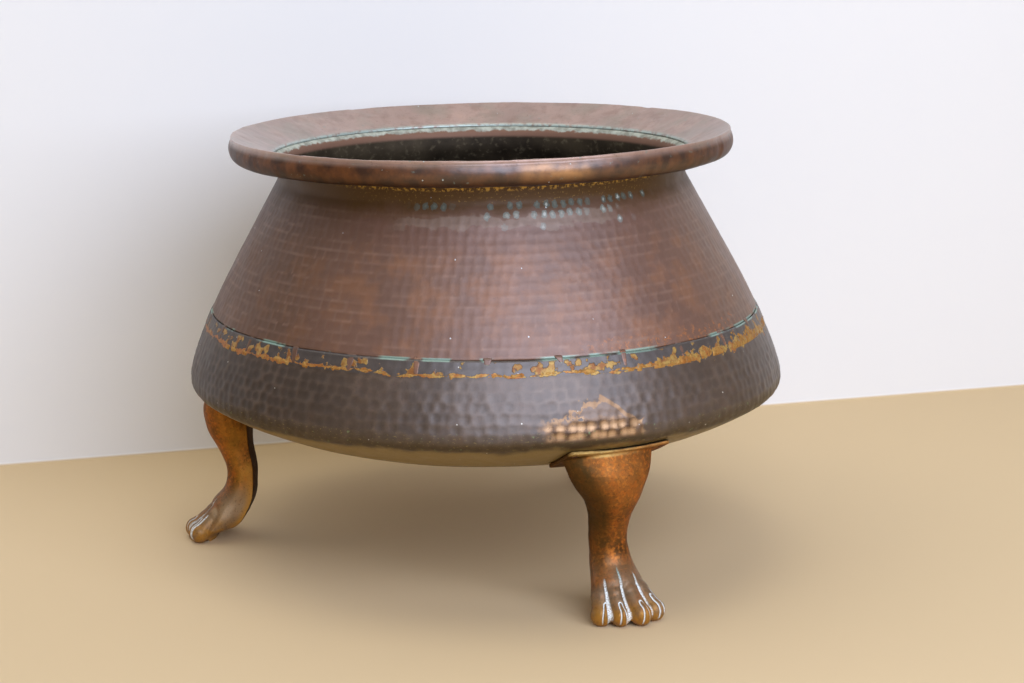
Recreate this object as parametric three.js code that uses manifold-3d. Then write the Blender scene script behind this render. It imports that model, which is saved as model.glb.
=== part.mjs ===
// Copper cauldron with a turned rim, standing on three cast paw legs.
// Millimetres, +Z up, floor at z = 0. The open mouth faces up.
// Angles around the pot are in degrees from +X toward +Y, and the front of the pot faces -Y.

import * as THREE from 'three';
import { mergeVertices } from 'three/addons/utils/BufferGeometryUtils.js';
import Module from 'manifold-3d';

const wasm = await Module();
wasm.setup();

// Sheet and fits
const sheet = 1.8; // thickness of the copper sheet
const fitGap = 0.3; // gap between two pieces that touch
const brazeFilm = 0.5; // thickness of the brass inside the belly seam

// Outside of the belly and underside
const bellyRadius = 260; // widest radius of the pot
const bellyHeight = 158.7; // height of the widest line
const bellyBend = 11; // radius of the tight bend under the widest line
const underSlope = 31.9; // slope of the underside just inside that bend
const underHold = 66; // how far inward the underside keeps that slope
const flatRadius = 80; // radius of the flat bottom
const flatHeight = 102.5; // height of the flat bottom above the floor
const flatHold = 52; // how gently the flat bottom starts to rise

// Outside of the cone
const coneTopRadius = 178.1; // radius where the cone meets the neck
const coneTopHeight = 330.5; // height where the cone meets the neck
const coneSlope = 29.5; // lean of the cone at the neck, from upright
const coneHold = 45.4; // how far down the cone keeps that lean
const bellyHold = 30.8; // how far up the belly stays upright

// Neck and lip of the wall
const neckBend = 9; // outer bend radius at the foot of the neck
const neckLength = 9.6; // upright length of the neck
const lipBend = 7; // outer bend radius of the lip
const lipWidth = 10; // straight width of the lip under the collar
const collarSlope = 26; // rise of lip and collar toward the outside

// Belly seam
const seamHeight = 218.3; // top edge of the bowl's margin
const seamMargin = 12.5; // height of the lap below that edge
const tabCount = 27; // cramp tabs around the seam
const tabWidth = 7;
const tabLength = 12;
const firstTabAngle = -89.4;

// Rim collar and its hem
const collarSetback = 0.6; // collar's inner edge, outward from the lip's bend
const rimRadius = 218.3; // outermost radius of the rim
const hemHalfWidth = 9;
const hemHalfHeight = 11.5;
const hemDrop = 10.4; // hem's middle below the end of the flange
const crestWidth = 4; // from the end of the flange to the outermost radius
const crestReach = 2.6; // how sharply the crest turns over
const crestAngle = 40; // where the crest runs into the hem's oval
const hemEndAngle = -150; // where the hem's tucked edge ends
const wireRadius = 4.8; // iron wire inside the hem
const filletLength = 3.5; // brass fillet past the end of the lip

// What hand work left out of true
const mouthLean = 0.02; // sideways lean of everything above the belly
const mouthTilt = 0.0155; // rise of the rim across the mouth

// Legs: reaches are measured outward, and backs inward, from the leg's middle line
const legAngles = { front: -64.5, left: 175.5, rear: 61 };
const legInset = 30; // legs' middle line, inward from the widest line of the pot
const soleFront = 33; // toe ends at the floor
const soleBack = 6; // heel at the floor, outward too
const soleWidth = 46;
const toeReach = 46; // furthest reach of the toes
const toeReachHeight = 7.5;
const toeTopReach = 35.5; // top of the toes, behind their ends
const toeTopHeight = 18;
const knuckleReach = 23.5; // bump where the toes leave the paw
const knuckleHeight = 33;
const instepReach = 9.4;
const instepHeight = 43.5;
const instepWidth = 36.4;
const pawWidth = 62;
const pawHeight = 13; // height of the paw's widest part
const pawSway = 4.5; // paw's middle, sideways
const heelBack = 18;
const heelHeight = 30.5;
const ankleFront = 3.2;
const ankleBack = 22.6;
const ankleHeight = 61.5;
const ankleWidth = 32.6;
const ankleSway = 3.9;
const calfFront = 10.9;
const calfBack = 19;
const calfHeight = 82;
const calfWidth = 36;
const hipFront = 25.3; // furthest bulge of the hip
const hipBack = 16.5;
const hipHeight = 118; // height of that bulge
const hipWidth = 69;
const hipSway = -2.4;
const hipTopFront = 16; // front of the leg where it meets the plate
const hipTopWidth = 80;
const backShare = 0.5; // width of the flat back as a share of the leg's width
const ankleShare = 0.72; // the same at the ankle
const heelShare = 0.5; // the same at the paw
const flankShare = 0.42; // widest line's place between back and front
const pawFlankShare = 0.7; // the same at the paw
const toeCount = 4;
const toeGroove = 4.5; // depth of the grooves between the toes
const toeHeight = 34; // height where the grooves run out

// Mounting plates cast with the legs
const plateThickness = 3.5;
const plateFront = 17; // outward from the leg's middle line
const plateBack = 31; // inward
const plateFrontWidth = 92;
const plateBackWidth = 84;
const plateCorner = 6;

// Rivets that hold the legs
const rivetRadius = 2.4;
const rivetHeadRadius = 5.5;
const rivetHeadHeight = 2.6;
const wingRivetReach = 11; // front pair, outward from the leg's middle line
const wingRivetSpread = 77; // front pair, from one to the other
const rearRivetInset = 24; // rear pair, inward
const rearRivetSpread = 40;

// Smoothness of the meshes
const turnSteps = 54;
const curveSteps = 6;
const bendSteps = 3;
const legSteps = 13;
const toeSteps = 16;
const roundSteps = 8;

// Working values
const halvings = 40; // steps that close in on a height
const weldDistance = 1e-4; // points nearer than this are one
const blockReach = 104; // radial length of the blocks that cut or keep the cramp tabs
const holeLength = 18; // length of the cutters for the rivet holes

const rad = THREE.MathUtils.degToRad;

function heading(angle) {
  return new THREE.Vector2(Math.cos(rad(angle)), Math.sin(rad(angle)));
}

// Moves a path sideways: positive is to the left of its direction.
function offsetPath(path, distance) {
  return path.map((point, i) => {
    const before = path[Math.max(i - 1, 0)];
    const after = path[Math.min(i + 1, path.length - 1)];
    const inward = point.clone().sub(before).normalize();
    const outward = after.clone().sub(point).normalize();
    const along = inward.clone().add(outward).normalize();
    const turn = Math.max(along.dot(outward), along.dot(inward));
    const left = new THREE.Vector2(-along.y, along.x);
    return point.clone().addScaledVector(left, distance / turn);
  });
}

// Arc from a point, turning from one heading to another.
function bend(start, fromHeading, toHeading, radius) {
  const side = Math.sign(toHeading - fromHeading);
  const centre = start.clone().addScaledVector(heading(fromHeading + 90 * side), radius);
  const points = [];
  for (let i = 1; i <= bendSteps; i += 1) {
    const angle = fromHeading + ((toHeading - fromHeading) * i) / bendSteps;
    points.push(centre.clone().addScaledVector(heading(angle - 90 * side), radius));
  }
  return points;
}

// Outline of the underside, from the axis to the widest line.
function undersidePath() {
  const turned = 90 - underSlope;
  const bendStart = new THREE.Vector2(
    bellyRadius - bellyBend * (1 - Math.cos(rad(turned))),
    bellyHeight - bellyBend * Math.sin(rad(turned)),
  );
  const dish = new THREE.CubicBezierCurve(
    new THREE.Vector2(flatRadius, flatHeight),
    new THREE.Vector2(flatRadius + flatHold, flatHeight),
    bendStart.clone().addScaledVector(heading(underSlope), -underHold),
    bendStart,
  );
  return {
    dish: [new THREE.Vector2(0, flatHeight), ...dish.getPoints(curveSteps)],
    knuckle: bend(bendStart, underSlope, 90, bellyBend),
  };
}

// Outline of the cone, from the widest line to the neck.
const coneTop = new THREE.Vector2(coneTopRadius, coneTopHeight);
const coneCurve = new THREE.CubicBezierCurve(
  new THREE.Vector2(bellyRadius, bellyHeight),
  new THREE.Vector2(bellyRadius, bellyHeight + bellyHold),
  coneTop.clone().addScaledVector(heading(90 + coneSlope), -coneHold),
  coneTop,
);

// Place on the cone's outline at a height.
function coneShare(height) {
  let low = 0;
  let high = 1;
  for (let i = 0; i < halvings; i += 1) {
    const middle = (low + high) / 2;
    if (coneCurve.getPoint(middle).y < height) low = middle;
    else high = middle;
  }
  return low;
}

// Part of the cone between two heights, moved inward.
function conePath(fromHeight, toHeight, inset, steps) {
  const from = coneShare(fromHeight);
  const to = coneShare(toHeight);
  const points = [];
  for (let i = 0; i <= steps; i += 1) {
    const share = from + ((to - from) * i) / steps;
    const along = coneCurve.getTangent(share);
    const left = new THREE.Vector2(-along.y, along.x);
    points.push(coneCurve.getPoint(share).addScaledVector(left, inset));
  }
  return points;
}

// Neck and lip, on the outer face, from the top of the cone.
function neckPath() {
  const foot = bend(coneTop, 90 + coneSlope, 90, neckBend);
  const neckTop = foot[foot.length - 1].clone();
  neckTop.y += neckLength;
  const curl = bend(neckTop, 90, collarSlope, lipBend);
  const lipStart = curl[curl.length - 1];
  const lipEnd = lipStart.clone().addScaledVector(heading(collarSlope), lipWidth);
  return { points: [...foot, neckTop, ...curl, lipEnd], lipStart, lipEnd };
}

// Point that is carried by the lip: along it from its start, and square above its outer face.
function onLip(along, above) {
  const { lipStart } = neckPath();
  const point = lipStart.clone().addScaledVector(heading(collarSlope), along);
  return point.addScaledVector(heading(collarSlope + 90), above);
}

// Geometry and manifold solids
function toSolid(geometry) {
  const bare = geometry.clone();
  bare.deleteAttribute('normal');
  bare.deleteAttribute('uv');
  const merged = mergeVertices(bare, weldDistance);
  const mesh = new wasm.Mesh({
    numProp: 3,
    vertProperties: Float32Array.from(merged.attributes.position.array),
    triVerts: Uint32Array.from(merged.index.array),
  });
  mesh.merge();
  return new wasm.Manifold(mesh);
}

function toGeometry(solid) {
  const mesh = solid.getMesh();
  const geometry = new THREE.BufferGeometry();
  geometry.setAttribute('position', new THREE.BufferAttribute(mesh.vertProperties, 3));
  geometry.setIndex(new THREE.BufferAttribute(mesh.triVerts, 1));
  return geometry;
}

// Solid of revolution from a profile of radius and height.
function turned(profile) {
  let area = 0;
  profile.forEach((point, i) => {
    area += point.cross(profile[(i + 1) % profile.length]);
  });
  const points = area > 0 ? profile : [...profile].reverse();
  const lathe = new THREE.LatheGeometry(points, turnSteps);
  lathe.rotateX(Math.PI / 2);
  return toSolid(lathe);
}

function turnedRing(profile) {
  return turned([...profile, profile[0].clone()]);
}

// The same block many times around the pot.
function blocksAround(count, firstAngle, width, lowHeight, highHeight) {
  let all = null;
  for (let i = 0; i < count; i += 1) {
    const block = new THREE.BoxGeometry(blockReach, width, highHeight - lowHeight);
    block.translate(bellyRadius, 0, (lowHeight + highHeight) / 2);
    block.rotateZ(rad(firstAngle + (360 * i) / count));
    all = all ? all.add(toSolid(block)) : toSolid(block);
  }
  return all;
}

// Everything above the belly leans a little, and the mouth is not quite level.
function outOfTrue(geometry) {
  const places = geometry.attributes.position;
  const mouthHeight = onLip(lipWidth, 0).y - bellyHeight;
  for (let i = 0; i < places.count; i += 1) {
    const above = Math.max(places.getZ(i) - bellyHeight, 0);
    const across = places.getX(i);
    places.setX(i, across - mouthLean * above);
    places.setZ(i, places.getZ(i) + (mouthTilt * across * above) / mouthHeight);
  }
  return geometry;
}

// Materials
function metal(color, roughness) {
  return new THREE.MeshStandardMaterial({ color, roughness, metalness: 1 });
}

const patinaCopper = () => metal(0x8c5f4a, 0.45);
const darkCopper = () => metal(0x54463c, 0.5);
const rimCopper = () => metal(0xa5826f, 0.4);
const spelterBrass = () => metal(0xb09048, 0.5);
const castBrass = () => metal(0x9a6c44, 0.5);
const wireIron = () => metal(0x45413e, 0.7);
const rivetCopper = () => metal(0x6e4c3a, 0.5);

// Sheet metal pieces
const lapSpace = fitGap + brazeFilm + fitGap;
const lapFoot = seamHeight - seamMargin;

function crampTabs(width, low, high) {
  return blocksAround(tabCount, firstTabAngle, width, low, high);
}

function sideWall() {
  const outside = [
    ...conePath(seamHeight + fitGap, coneTopHeight, 0, curveSteps),
    ...neckPath().points,
  ];
  const inside = offsetPath(outside, sheet).slice(2).reverse();
  const lapInside = conePath(seamHeight, lapFoot, 2 * sheet + lapSpace, 2);
  const lapOutside = conePath(lapFoot, seamHeight + fitGap, sheet + lapSpace, 2);
  const shell = turnedRing([...outside, ...inside, ...lapInside, ...lapOutside]);
  const tabFoot = seamHeight - tabLength;
  const tabRoot = seamHeight + 2 * sheet;
  const tabRing = turnedRing([
    ...conePath(tabFoot - sheet, tabRoot, 0, 2),
    ...conePath(tabRoot, tabFoot - sheet, sheet, 2),
  ]);
  const tabs = tabRing.intersect(crampTabs(tabWidth, tabFoot, tabRoot + sheet));
  return outOfTrue(toGeometry(shell.add(tabs)));
}

function bowl() {
  const { dish, knuckle } = undersidePath();
  const margin = conePath(bellyHeight, seamHeight, 0, curveSteps / 2).slice(1);
  const outside = [...dish, ...knuckle, ...margin];
  const inside = offsetPath(outside, sheet).reverse();
  const notches = crampTabs(
    tabWidth + 2 * fitGap,
    seamHeight - tabLength - fitGap,
    seamHeight + sheet,
  );
  const shell = turned([...outside, ...inside]).subtract(notches);
  return outOfTrue(toGeometry(shell.subtract(rivetHoles())));
}

function bellySeamBraze() {
  const low = lapFoot + sheet;
  const high = seamHeight - fitGap;
  const ring = turnedRing([
    ...conePath(low, high, sheet + fitGap, 2),
    ...conePath(high, low, sheet + fitGap + brazeFilm, 2),
  ]);
  return outOfTrue(toGeometry(ring));
}

// Oval of the hem, at an angle around its middle and a distance inside its outer face.
function hemPoint(angle, inset) {
  const { hemMiddle } = flange();
  return new THREE.Vector2(
    hemMiddle.x + (hemHalfWidth - inset) * Math.cos(rad(angle)),
    hemMiddle.y + (hemHalfHeight - inset) * Math.sin(rad(angle)),
  );
}

// Straight part of the collar on its upper face, and the middle of the hem.
function flange() {
  const start = onLip(collarSetback, 2 * sheet + fitGap);
  const run = (rimRadius - crestWidth - start.x) / heading(collarSlope).x;
  const end = start.clone().addScaledVector(heading(collarSlope), run);
  const hemMiddle = new THREE.Vector2(rimRadius - hemHalfWidth, end.y - hemDrop);
  return { start, end, hemMiddle };
}

function rimCollar() {
  const { start, end } = flange();
  const crest = new THREE.QuadraticBezierCurve(
    end,
    end.clone().addScaledVector(heading(collarSlope), crestReach),
    hemPoint(crestAngle, 0),
  );
  const upper = [start, ...crest.getPoints(bendSteps)];
  const hemSteps = roundSteps;
  for (let i = 1; i <= hemSteps; i += 1) {
    upper.push(hemPoint(crestAngle + ((hemEndAngle - crestAngle) * i) / hemSteps, 0));
  }
  const under = offsetPath(upper, -sheet).reverse();
  return outOfTrue(toGeometry(turnedRing([...upper, ...under])));
}

function rimWire() {
  const seat = hemPoint(-90, sheet);
  const middle = new THREE.Vector2(seat.x, seat.y + fitGap + wireRadius);
  const section = [];
  for (let i = 0; i < roundSteps; i += 1) {
    section.push(middle.clone().addScaledVector(heading((360 * i) / roundSteps), wireRadius));
  }
  return outOfTrue(toGeometry(turnedRing(section)));
}

function rimSeamBraze() {
  const start = lipWidth + fitGap;
  return outOfTrue(toGeometry(turnedRing([
    onLip(start, 0),
    onLip(start + filletLength / 2, sheet / 2),
    onLip(start + filletLength, sheet),
    onLip(start, sheet),
  ])));
}

// Legs, drawn with their toes toward +X
const legPlace = bellyRadius - legInset;
const legTop = bellyHeight - bellyBend;
const frontCurve = new THREE.SplineCurve([
  new THREE.Vector2(0, legPlace + soleFront),
  new THREE.Vector2(toeReachHeight, legPlace + toeReach),
  new THREE.Vector2(toeTopHeight, legPlace + toeTopReach),
  new THREE.Vector2(knuckleHeight, legPlace + knuckleReach),
  new THREE.Vector2(instepHeight, legPlace + instepReach),
  new THREE.Vector2(ankleHeight, legPlace + ankleFront),
  new THREE.Vector2(calfHeight, legPlace + calfFront),
  new THREE.Vector2(hipHeight, legPlace + hipFront),
  new THREE.Vector2(legTop, legPlace + hipTopFront),
]);
const backCurve = new THREE.SplineCurve([
  new THREE.Vector2(0, legPlace + soleBack),
  new THREE.Vector2(heelHeight, legPlace - heelBack),
  new THREE.Vector2(ankleHeight, legPlace - ankleBack),
  new THREE.Vector2(calfHeight, legPlace - calfBack),
  new THREE.Vector2(hipHeight, legPlace - hipBack),
  new THREE.Vector2(legTop, legPlace - hipBack),
]);
const widthCurve = new THREE.SplineCurve([
  new THREE.Vector2(0, soleWidth),
  new THREE.Vector2(pawHeight, pawWidth),
  new THREE.Vector2(instepHeight, instepWidth),
  new THREE.Vector2(ankleHeight, ankleWidth),
  new THREE.Vector2(calfHeight, calfWidth),
  new THREE.Vector2(hipHeight, hipWidth),
  new THREE.Vector2(legTop, hipTopWidth),
]);
const swayCurve = new THREE.SplineCurve([
  new THREE.Vector2(0, pawSway),
  new THREE.Vector2(pawHeight, pawSway),
  new THREE.Vector2(ankleHeight, ankleSway),
  new THREE.Vector2(hipHeight, hipSway),
  new THREE.Vector2(legTop, hipSway),
]);
const heelCurve = new THREE.SplineCurve([
  new THREE.Vector2(0, heelShare),
  new THREE.Vector2(pawHeight, heelShare),
  new THREE.Vector2(ankleHeight, ankleShare),
  new THREE.Vector2(hipHeight, backShare),
  new THREE.Vector2(legTop, backShare),
]);
const flankCurve = new THREE.SplineCurve([
  new THREE.Vector2(0, pawFlankShare),
  new THREE.Vector2(pawHeight, pawFlankShare),
  new THREE.Vector2(ankleHeight, flankShare),
  new THREE.Vector2(legTop, flankShare),
]);

// Value of a curve of height against value.
function readCurve(curve, height) {
  let low = 0;
  let high = 1;
  for (let i = 0; i < halvings; i += 1) {
    const middle = (low + high) / 2;
    if (curve.getPoint(middle).x < height) low = middle;
    else high = middle;
  }
  return curve.getPoint(low).y;
}

// One level section of the leg: flat at the back, round in front, lobed at the toes.
function legSection(height) {
  const back = readCurve(backCurve, height);
  const front = readCurve(frontCurve, height);
  const half = readCurve(widthCurve, height) / 2;
  const flank = back + (front - back) * readCurve(flankCurve, height);
  const heel = half * readCurve(heelCurve, height);
  const sway = readCurve(swayCurve, height);
  const groove = toeGroove * THREE.MathUtils.clamp((toeHeight - height) / toeHeight, 0, 1);
  const points = [new THREE.Vector3(back, sway - heel, height)];
  for (let i = 0; i <= toeSteps; i += 1) {
    const turn = -90 + (180 * i) / toeSteps;
    const cut = groove * Math.cos(rad(turn * toeCount)) ** 2 * Math.cos(rad(turn));
    const along = flank + (front - flank - cut) * Math.cos(rad(turn));
    const aside = sway + (half - cut / 2) * Math.sin(rad(turn));
    points.push(new THREE.Vector3(along, aside, height));
  }
  points.push(new THREE.Vector3(back, sway + heel, height));
  return points;
}

// Closed skin over level sections that all have as many points.
function skin(sections) {
  const size = sections[0].length;
  const places = [];
  const faces = [];
  sections.forEach((section) => section.forEach((point) => places.push(...point)));
  for (let level = 0; level + 1 < sections.length; level += 1) {
    for (let i = 0; i < size; i += 1) {
      const a = level * size + i;
      const b = level * size + ((i + 1) % size);
      faces.push(a, b, b + size, a, b + size, a + size);
    }
  }
  const top = (sections.length - 1) * size;
  for (let i = 1; i + 1 < size; i += 1) {
    faces.push(0, i + 1, i);
    faces.push(top, top + i, top + i + 1);
  }
  const geometry = new THREE.BufferGeometry();
  geometry.setAttribute('position', new THREE.Float32BufferAttribute(places, 3));
  geometry.setIndex(faces);
  return toSolid(geometry);
}

// Underside of the bowl as a path, carried straight on past its bend, some way below it.
function seatPath(below) {
  const { dish } = undersidePath();
  const end = dish[dish.length - 1];
  const past = end.clone().addScaledVector(heading(underSlope), bellyBend);
  return offsetPath([...dish, past], -below).slice(1);
}

// Space above the middle of the plate's thickness, which trims the top of the leg.
function trimSpace() {
  const path = [new THREE.Vector2(0, flatHeight), ...seatPath(fitGap + plateThickness / 2)];
  const edge = path[path.length - 1];
  const ceiling = edge.y + bellyHeight;
  return turned([...path, new THREE.Vector2(edge.x, ceiling), new THREE.Vector2(0, ceiling)]);
}

function plateOutline() {
  const inner = legPlace - plateBack;
  const outer = legPlace + plateFront;
  const corners = [
    new THREE.Vector2(inner, -plateBackWidth / 2),
    new THREE.Vector2(outer, -plateFrontWidth / 2),
    new THREE.Vector2(outer, plateFrontWidth / 2),
    new THREE.Vector2(inner, plateBackWidth / 2),
  ];
  const shape = new THREE.Shape();
  corners.forEach((corner, i) => {
    const before = corners[(i + 3) % 4].clone().sub(corner).normalize();
    const after = corners[(i + 1) % 4].clone().sub(corner).normalize();
    const enter = corner.clone().addScaledVector(before, plateCorner);
    const leave = corner.clone().addScaledVector(after, plateCorner);
    if (i === 0) shape.moveTo(enter.x, enter.y);
    else shape.lineTo(enter.x, enter.y);
    shape.quadraticCurveTo(corner.x, corner.y, leave.x, leave.y);
  });
  shape.closePath();
  return shape;
}

function legPlate() {
  const ring = turnedRing([
    ...seatPath(fitGap + plateThickness),
    ...seatPath(fitGap).reverse(),
  ]);
  const block = new THREE.ExtrudeGeometry(plateOutline(), {
    depth: bellyHeight,
    bevelEnabled: false,
    curveSegments: bendSteps,
  });
  return ring.intersect(toSolid(block));
}

// Rivet places on one leg: distance from the pot's axis and to the side.
const rivetPlaces = [
  { along: legPlace + wingRivetReach, aside: -wingRivetSpread / 2 },
  { along: legPlace + wingRivetReach, aside: wingRivetSpread / 2 },
  { along: legPlace - rearRivetInset, aside: -rearRivetSpread / 2 },
  { along: legPlace - rearRivetInset, aside: rearRivetSpread / 2 },
];

// Puts a shape drawn along +Z square onto the bowl's outer face, with its top toward the inside.
function ontoUnderside(spot) {
  const radius = Math.hypot(spot.along, spot.aside);
  const { dish } = undersidePath();
  const next = dish.findIndex((point) => point.x > radius);
  const before = dish[next - 1];
  const after = dish[next];
  const share = (radius - before.x) / (after.x - before.x);
  const height = before.y + (after.y - before.y) * share;
  const slope = Math.atan2(after.y - before.y, after.x - before.x);
  const matrix = new THREE.Matrix4().makeRotationZ(Math.atan2(spot.aside, spot.along));
  matrix.multiply(new THREE.Matrix4().makeTranslation(radius, 0, height));
  return matrix.multiply(new THREE.Matrix4().makeRotationY(-slope));
}

function rivetHole(spot) {
  const hole = new THREE.CylinderGeometry(
    rivetRadius + fitGap,
    rivetRadius + fitGap,
    holeLength,
    roundSteps,
  );
  hole.rotateX(Math.PI / 2);
  return hole.applyMatrix4(ontoUnderside(spot));
}

function rivetHoles() {
  let all = null;
  Object.values(legAngles).forEach((angle) => {
    rivetPlaces.forEach((spot) => {
      const hole = toSolid(rivetHole(spot).rotateZ(rad(angle)));
      all = all ? all.add(hole) : hole;
    });
  });
  return all;
}

function rivet(spot) {
  const seat = sheet + fitGap;
  const tail = -(fitGap + plateThickness);
  const dome = [];
  for (let i = 0; i <= bendSteps; i += 1) {
    const turn = heading((90 * i) / bendSteps);
    dome.push(new THREE.Vector2(rivetHeadRadius * turn.x, seat + rivetHeadHeight * turn.y));
  }
  dome[bendSteps].x = 0;
  const profile = [
    new THREE.Vector2(0, tail),
    new THREE.Vector2(rivetRadius, tail),
    new THREE.Vector2(rivetRadius, seat),
    ...dome,
  ];
  const body = new THREE.LatheGeometry(profile, roundSteps);
  body.rotateX(Math.PI / 2);
  return toGeometry(toSolid(body.applyMatrix4(ontoUnderside(spot))));
}

function leg() {
  const sections = [];
  for (let i = 0; i <= legSteps; i += 1) sections.push(legSection((legTop * i) / legSteps));
  let solid = skin(sections).subtract(trimSpace()).add(legPlate());
  rivetPlaces.forEach((spot) => {
    solid = solid.subtract(toSolid(rivetHole(spot)));
  });
  return toGeometry(solid);
}

// Assembly
const group = new THREE.Group();

function place(name, geometry, material, angle = 0) {
  const mesh = new THREE.Mesh(geometry, material);
  mesh.name = name;
  mesh.rotation.z = rad(angle);
  group.add(mesh);
}

place('side_wall', sideWall(), patinaCopper());
place('bowl', bowl(), darkCopper());
place('belly_seam_braze', bellySeamBraze(), spelterBrass());
place('rim_collar', rimCollar(), rimCopper());
place('rim_wire', rimWire(), wireIron());
place('rim_seam_braze', rimSeamBraze(), spelterBrass());

Object.entries(legAngles).forEach(([side, angle]) => {
  place(`leg_${side}`, leg(), castBrass(), angle);
  rivetPlaces.forEach((spot, i) => {
    place(`rivet_${side}_${i + 1}`, rivet(spot), rivetCopper(), angle);
  });
});

// The middle of the footprint is the origin.
const box = new THREE.Box3().setFromObject(group, true);
group.position.x = -(box.min.x + box.max.x) / 2;
group.position.y = -(box.min.y + box.max.y) / 2;
group.updateMatrixWorld(true);

export default group;
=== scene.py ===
"""Copper cauldron on three cast paw legs: hammered copper, brass seams and patina."""

import math

import bmesh
import bpy
import numpy as np
from bpy.props import FloatProperty, FloatVectorProperty, IntProperty, PointerProperty
from bpy.types import Operator, Panel, PropertyGroup
from mathutils import Matrix, Vector


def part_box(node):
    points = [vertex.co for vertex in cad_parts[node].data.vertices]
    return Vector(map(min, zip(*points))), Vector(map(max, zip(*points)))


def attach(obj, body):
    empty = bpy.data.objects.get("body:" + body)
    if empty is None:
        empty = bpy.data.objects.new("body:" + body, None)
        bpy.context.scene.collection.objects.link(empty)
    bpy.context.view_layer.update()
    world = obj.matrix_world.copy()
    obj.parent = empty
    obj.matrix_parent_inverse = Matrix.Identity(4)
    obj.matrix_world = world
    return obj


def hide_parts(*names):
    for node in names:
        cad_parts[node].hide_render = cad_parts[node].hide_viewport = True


bl_info = {
    "name": "Copper cauldron",
    "version": (1, 0, 0),
    "blender": (4, 5, 0),
    "location": "3D View > Sidebar > Cauldron",
    "description": "Hammered copper cauldron with brass seams and cast paw legs",
    "category": "Add Mesh",
}

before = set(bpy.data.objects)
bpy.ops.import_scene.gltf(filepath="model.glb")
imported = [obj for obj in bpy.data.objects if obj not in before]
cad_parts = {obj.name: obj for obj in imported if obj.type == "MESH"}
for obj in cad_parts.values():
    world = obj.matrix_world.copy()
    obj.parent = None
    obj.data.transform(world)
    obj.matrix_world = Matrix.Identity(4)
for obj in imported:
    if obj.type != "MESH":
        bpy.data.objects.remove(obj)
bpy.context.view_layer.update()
bowl_low, bowl_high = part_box("bowl")
collar_low, collar_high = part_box("rim_collar")

MM = 0.001
TURN = 2.0 * math.pi

# The pot's own axis stands a little to the side of the frame's origin.
AXIS = Vector(((bowl_low.x + bowl_high.x) / 2, (bowl_low.y + bowl_high.y) / 2, 0.0))

# Sheet and fits, in millimetres
SHEET = 1.8
FIT_GAP = 0.3
SKIN_INSET = 0.42

# Outline of the pot, in millimetres from its axis and from the floor
BELLY_RADIUS = (bowl_high.y - bowl_low.y) / 2 / MM
BELLY_HEIGHT = 158.7
BELLY_BEND = 11.0
UNDER_SLOPE = 31.9
UNDER_HOLD = 66.0
FLAT_RADIUS = 80.0
FLAT_HEIGHT = bowl_low.z / MM
FLAT_HOLD = 52.0
CONE_TOP_RADIUS = 178.1
CONE_TOP_HEIGHT = 330.5
CONE_SLOPE = 29.5
CONE_HOLD = 45.4
BELLY_HOLD = 30.8
NECK_BEND = 9.0
NECK_LENGTH = 9.6
LIP_BEND = 7.0
LIP_WIDTH = 10.0
COLLAR_SLOPE = 26.0
SEAM_HEIGHT = 218.3
SEAM_MARGIN = 12.5
LOW_LINE = SEAM_HEIGHT - SEAM_MARGIN + 1.0
MARGIN_PROUD = 0.55
LAP_SPACE = 1.1
TAB_COUNT = 27
TAB_WIDTH = 7.0
TAB_LENGTH = 12.0
FIRST_TAB = -89.4
TAB_ROOT = 2.4
TAB_ROUND = 1.6
TAB_PROUD = 0.55
TAB_THICKNESS = 0.9
WORN_TABS = (0, 1, 5, 9, 14, 20)
WORN_TAB_SHARE = 0.3
COLLAR_SETBACK = 0.6
RIM_RADIUS = (collar_high.y - collar_low.y) / 2 / MM + 0.1
HEM_HALF_WIDTH = 9.0
HEM_HALF_HEIGHT = 11.5
HEM_DROP = 10.4
CREST_WIDTH = 4.0
CREST_REACH = 2.6
CREST_ANGLE = 40.0
HEM_END_ANGLE = -150.0
# Section of the rim's fillet: outward from the lip's edge, and up from the lip's lower face
FILLET = ((0.0, 0.1), (0.9, 0.25), (1.9, 0.75), (2.9, 1.3), (3.4, SHEET - 0.05),
          (1.6, SHEET - 0.05), (0.0, SHEET - 0.05))

# What hand work left out of true
MOUTH_LEAN = 0.02
MOUTH_TILT = 0.0155
WALL_SEED, BOWL_SEED, RIM_SEED = 11, 31, 51
# Broad waves: cell, radius at which it is measured, seed and height
WALL_WAVES = ((70.0, 210.0, 5, 0.45), (26.0, 210.0, 6, 0.14))
BOWL_WAVES = ((60.0, 250.0, 15, 0.35), (24.0, 250.0, 16, 0.12))
# Grain of the spelter: cell, seed and share
SPELTER_GRAIN = ((9.0, 72, 0.55), (3.6, 73, 0.45), (1.8, 74, 0.3))
# Middle, half width and soft edge of the rubbed patch, in degrees from the front
PATCH_ANGLES = (19.0, 9.0, 3.0)

# Patina
FILM_IOR = 1.7
EDGE_TINT = "#b6b0ae"
VERDIGRIS = "#8aa898"
MEAN_RADIUS = BELLY_RADIUS * 0.9
OVAL_STEP, OVAL_WIDTH, OVAL_TALL = 9.8, 7.4, 6.4
# Rows of oxide: height, shift, first and last angle, share left out, colours of edge and middle
OXIDE_ROWS = (
    (330.3, 0.0, -14.0, 46.0, 0.22, "#464a42", "#6b7268"),
    (323.3, 0.4, -4.0, 31.0, 0.26, "#5a5e56", "#96998e"),
    (314.2, 0.7, -6.0, 40.0, 0.78, "#6a6c66", "#8f9288"),
)

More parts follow.
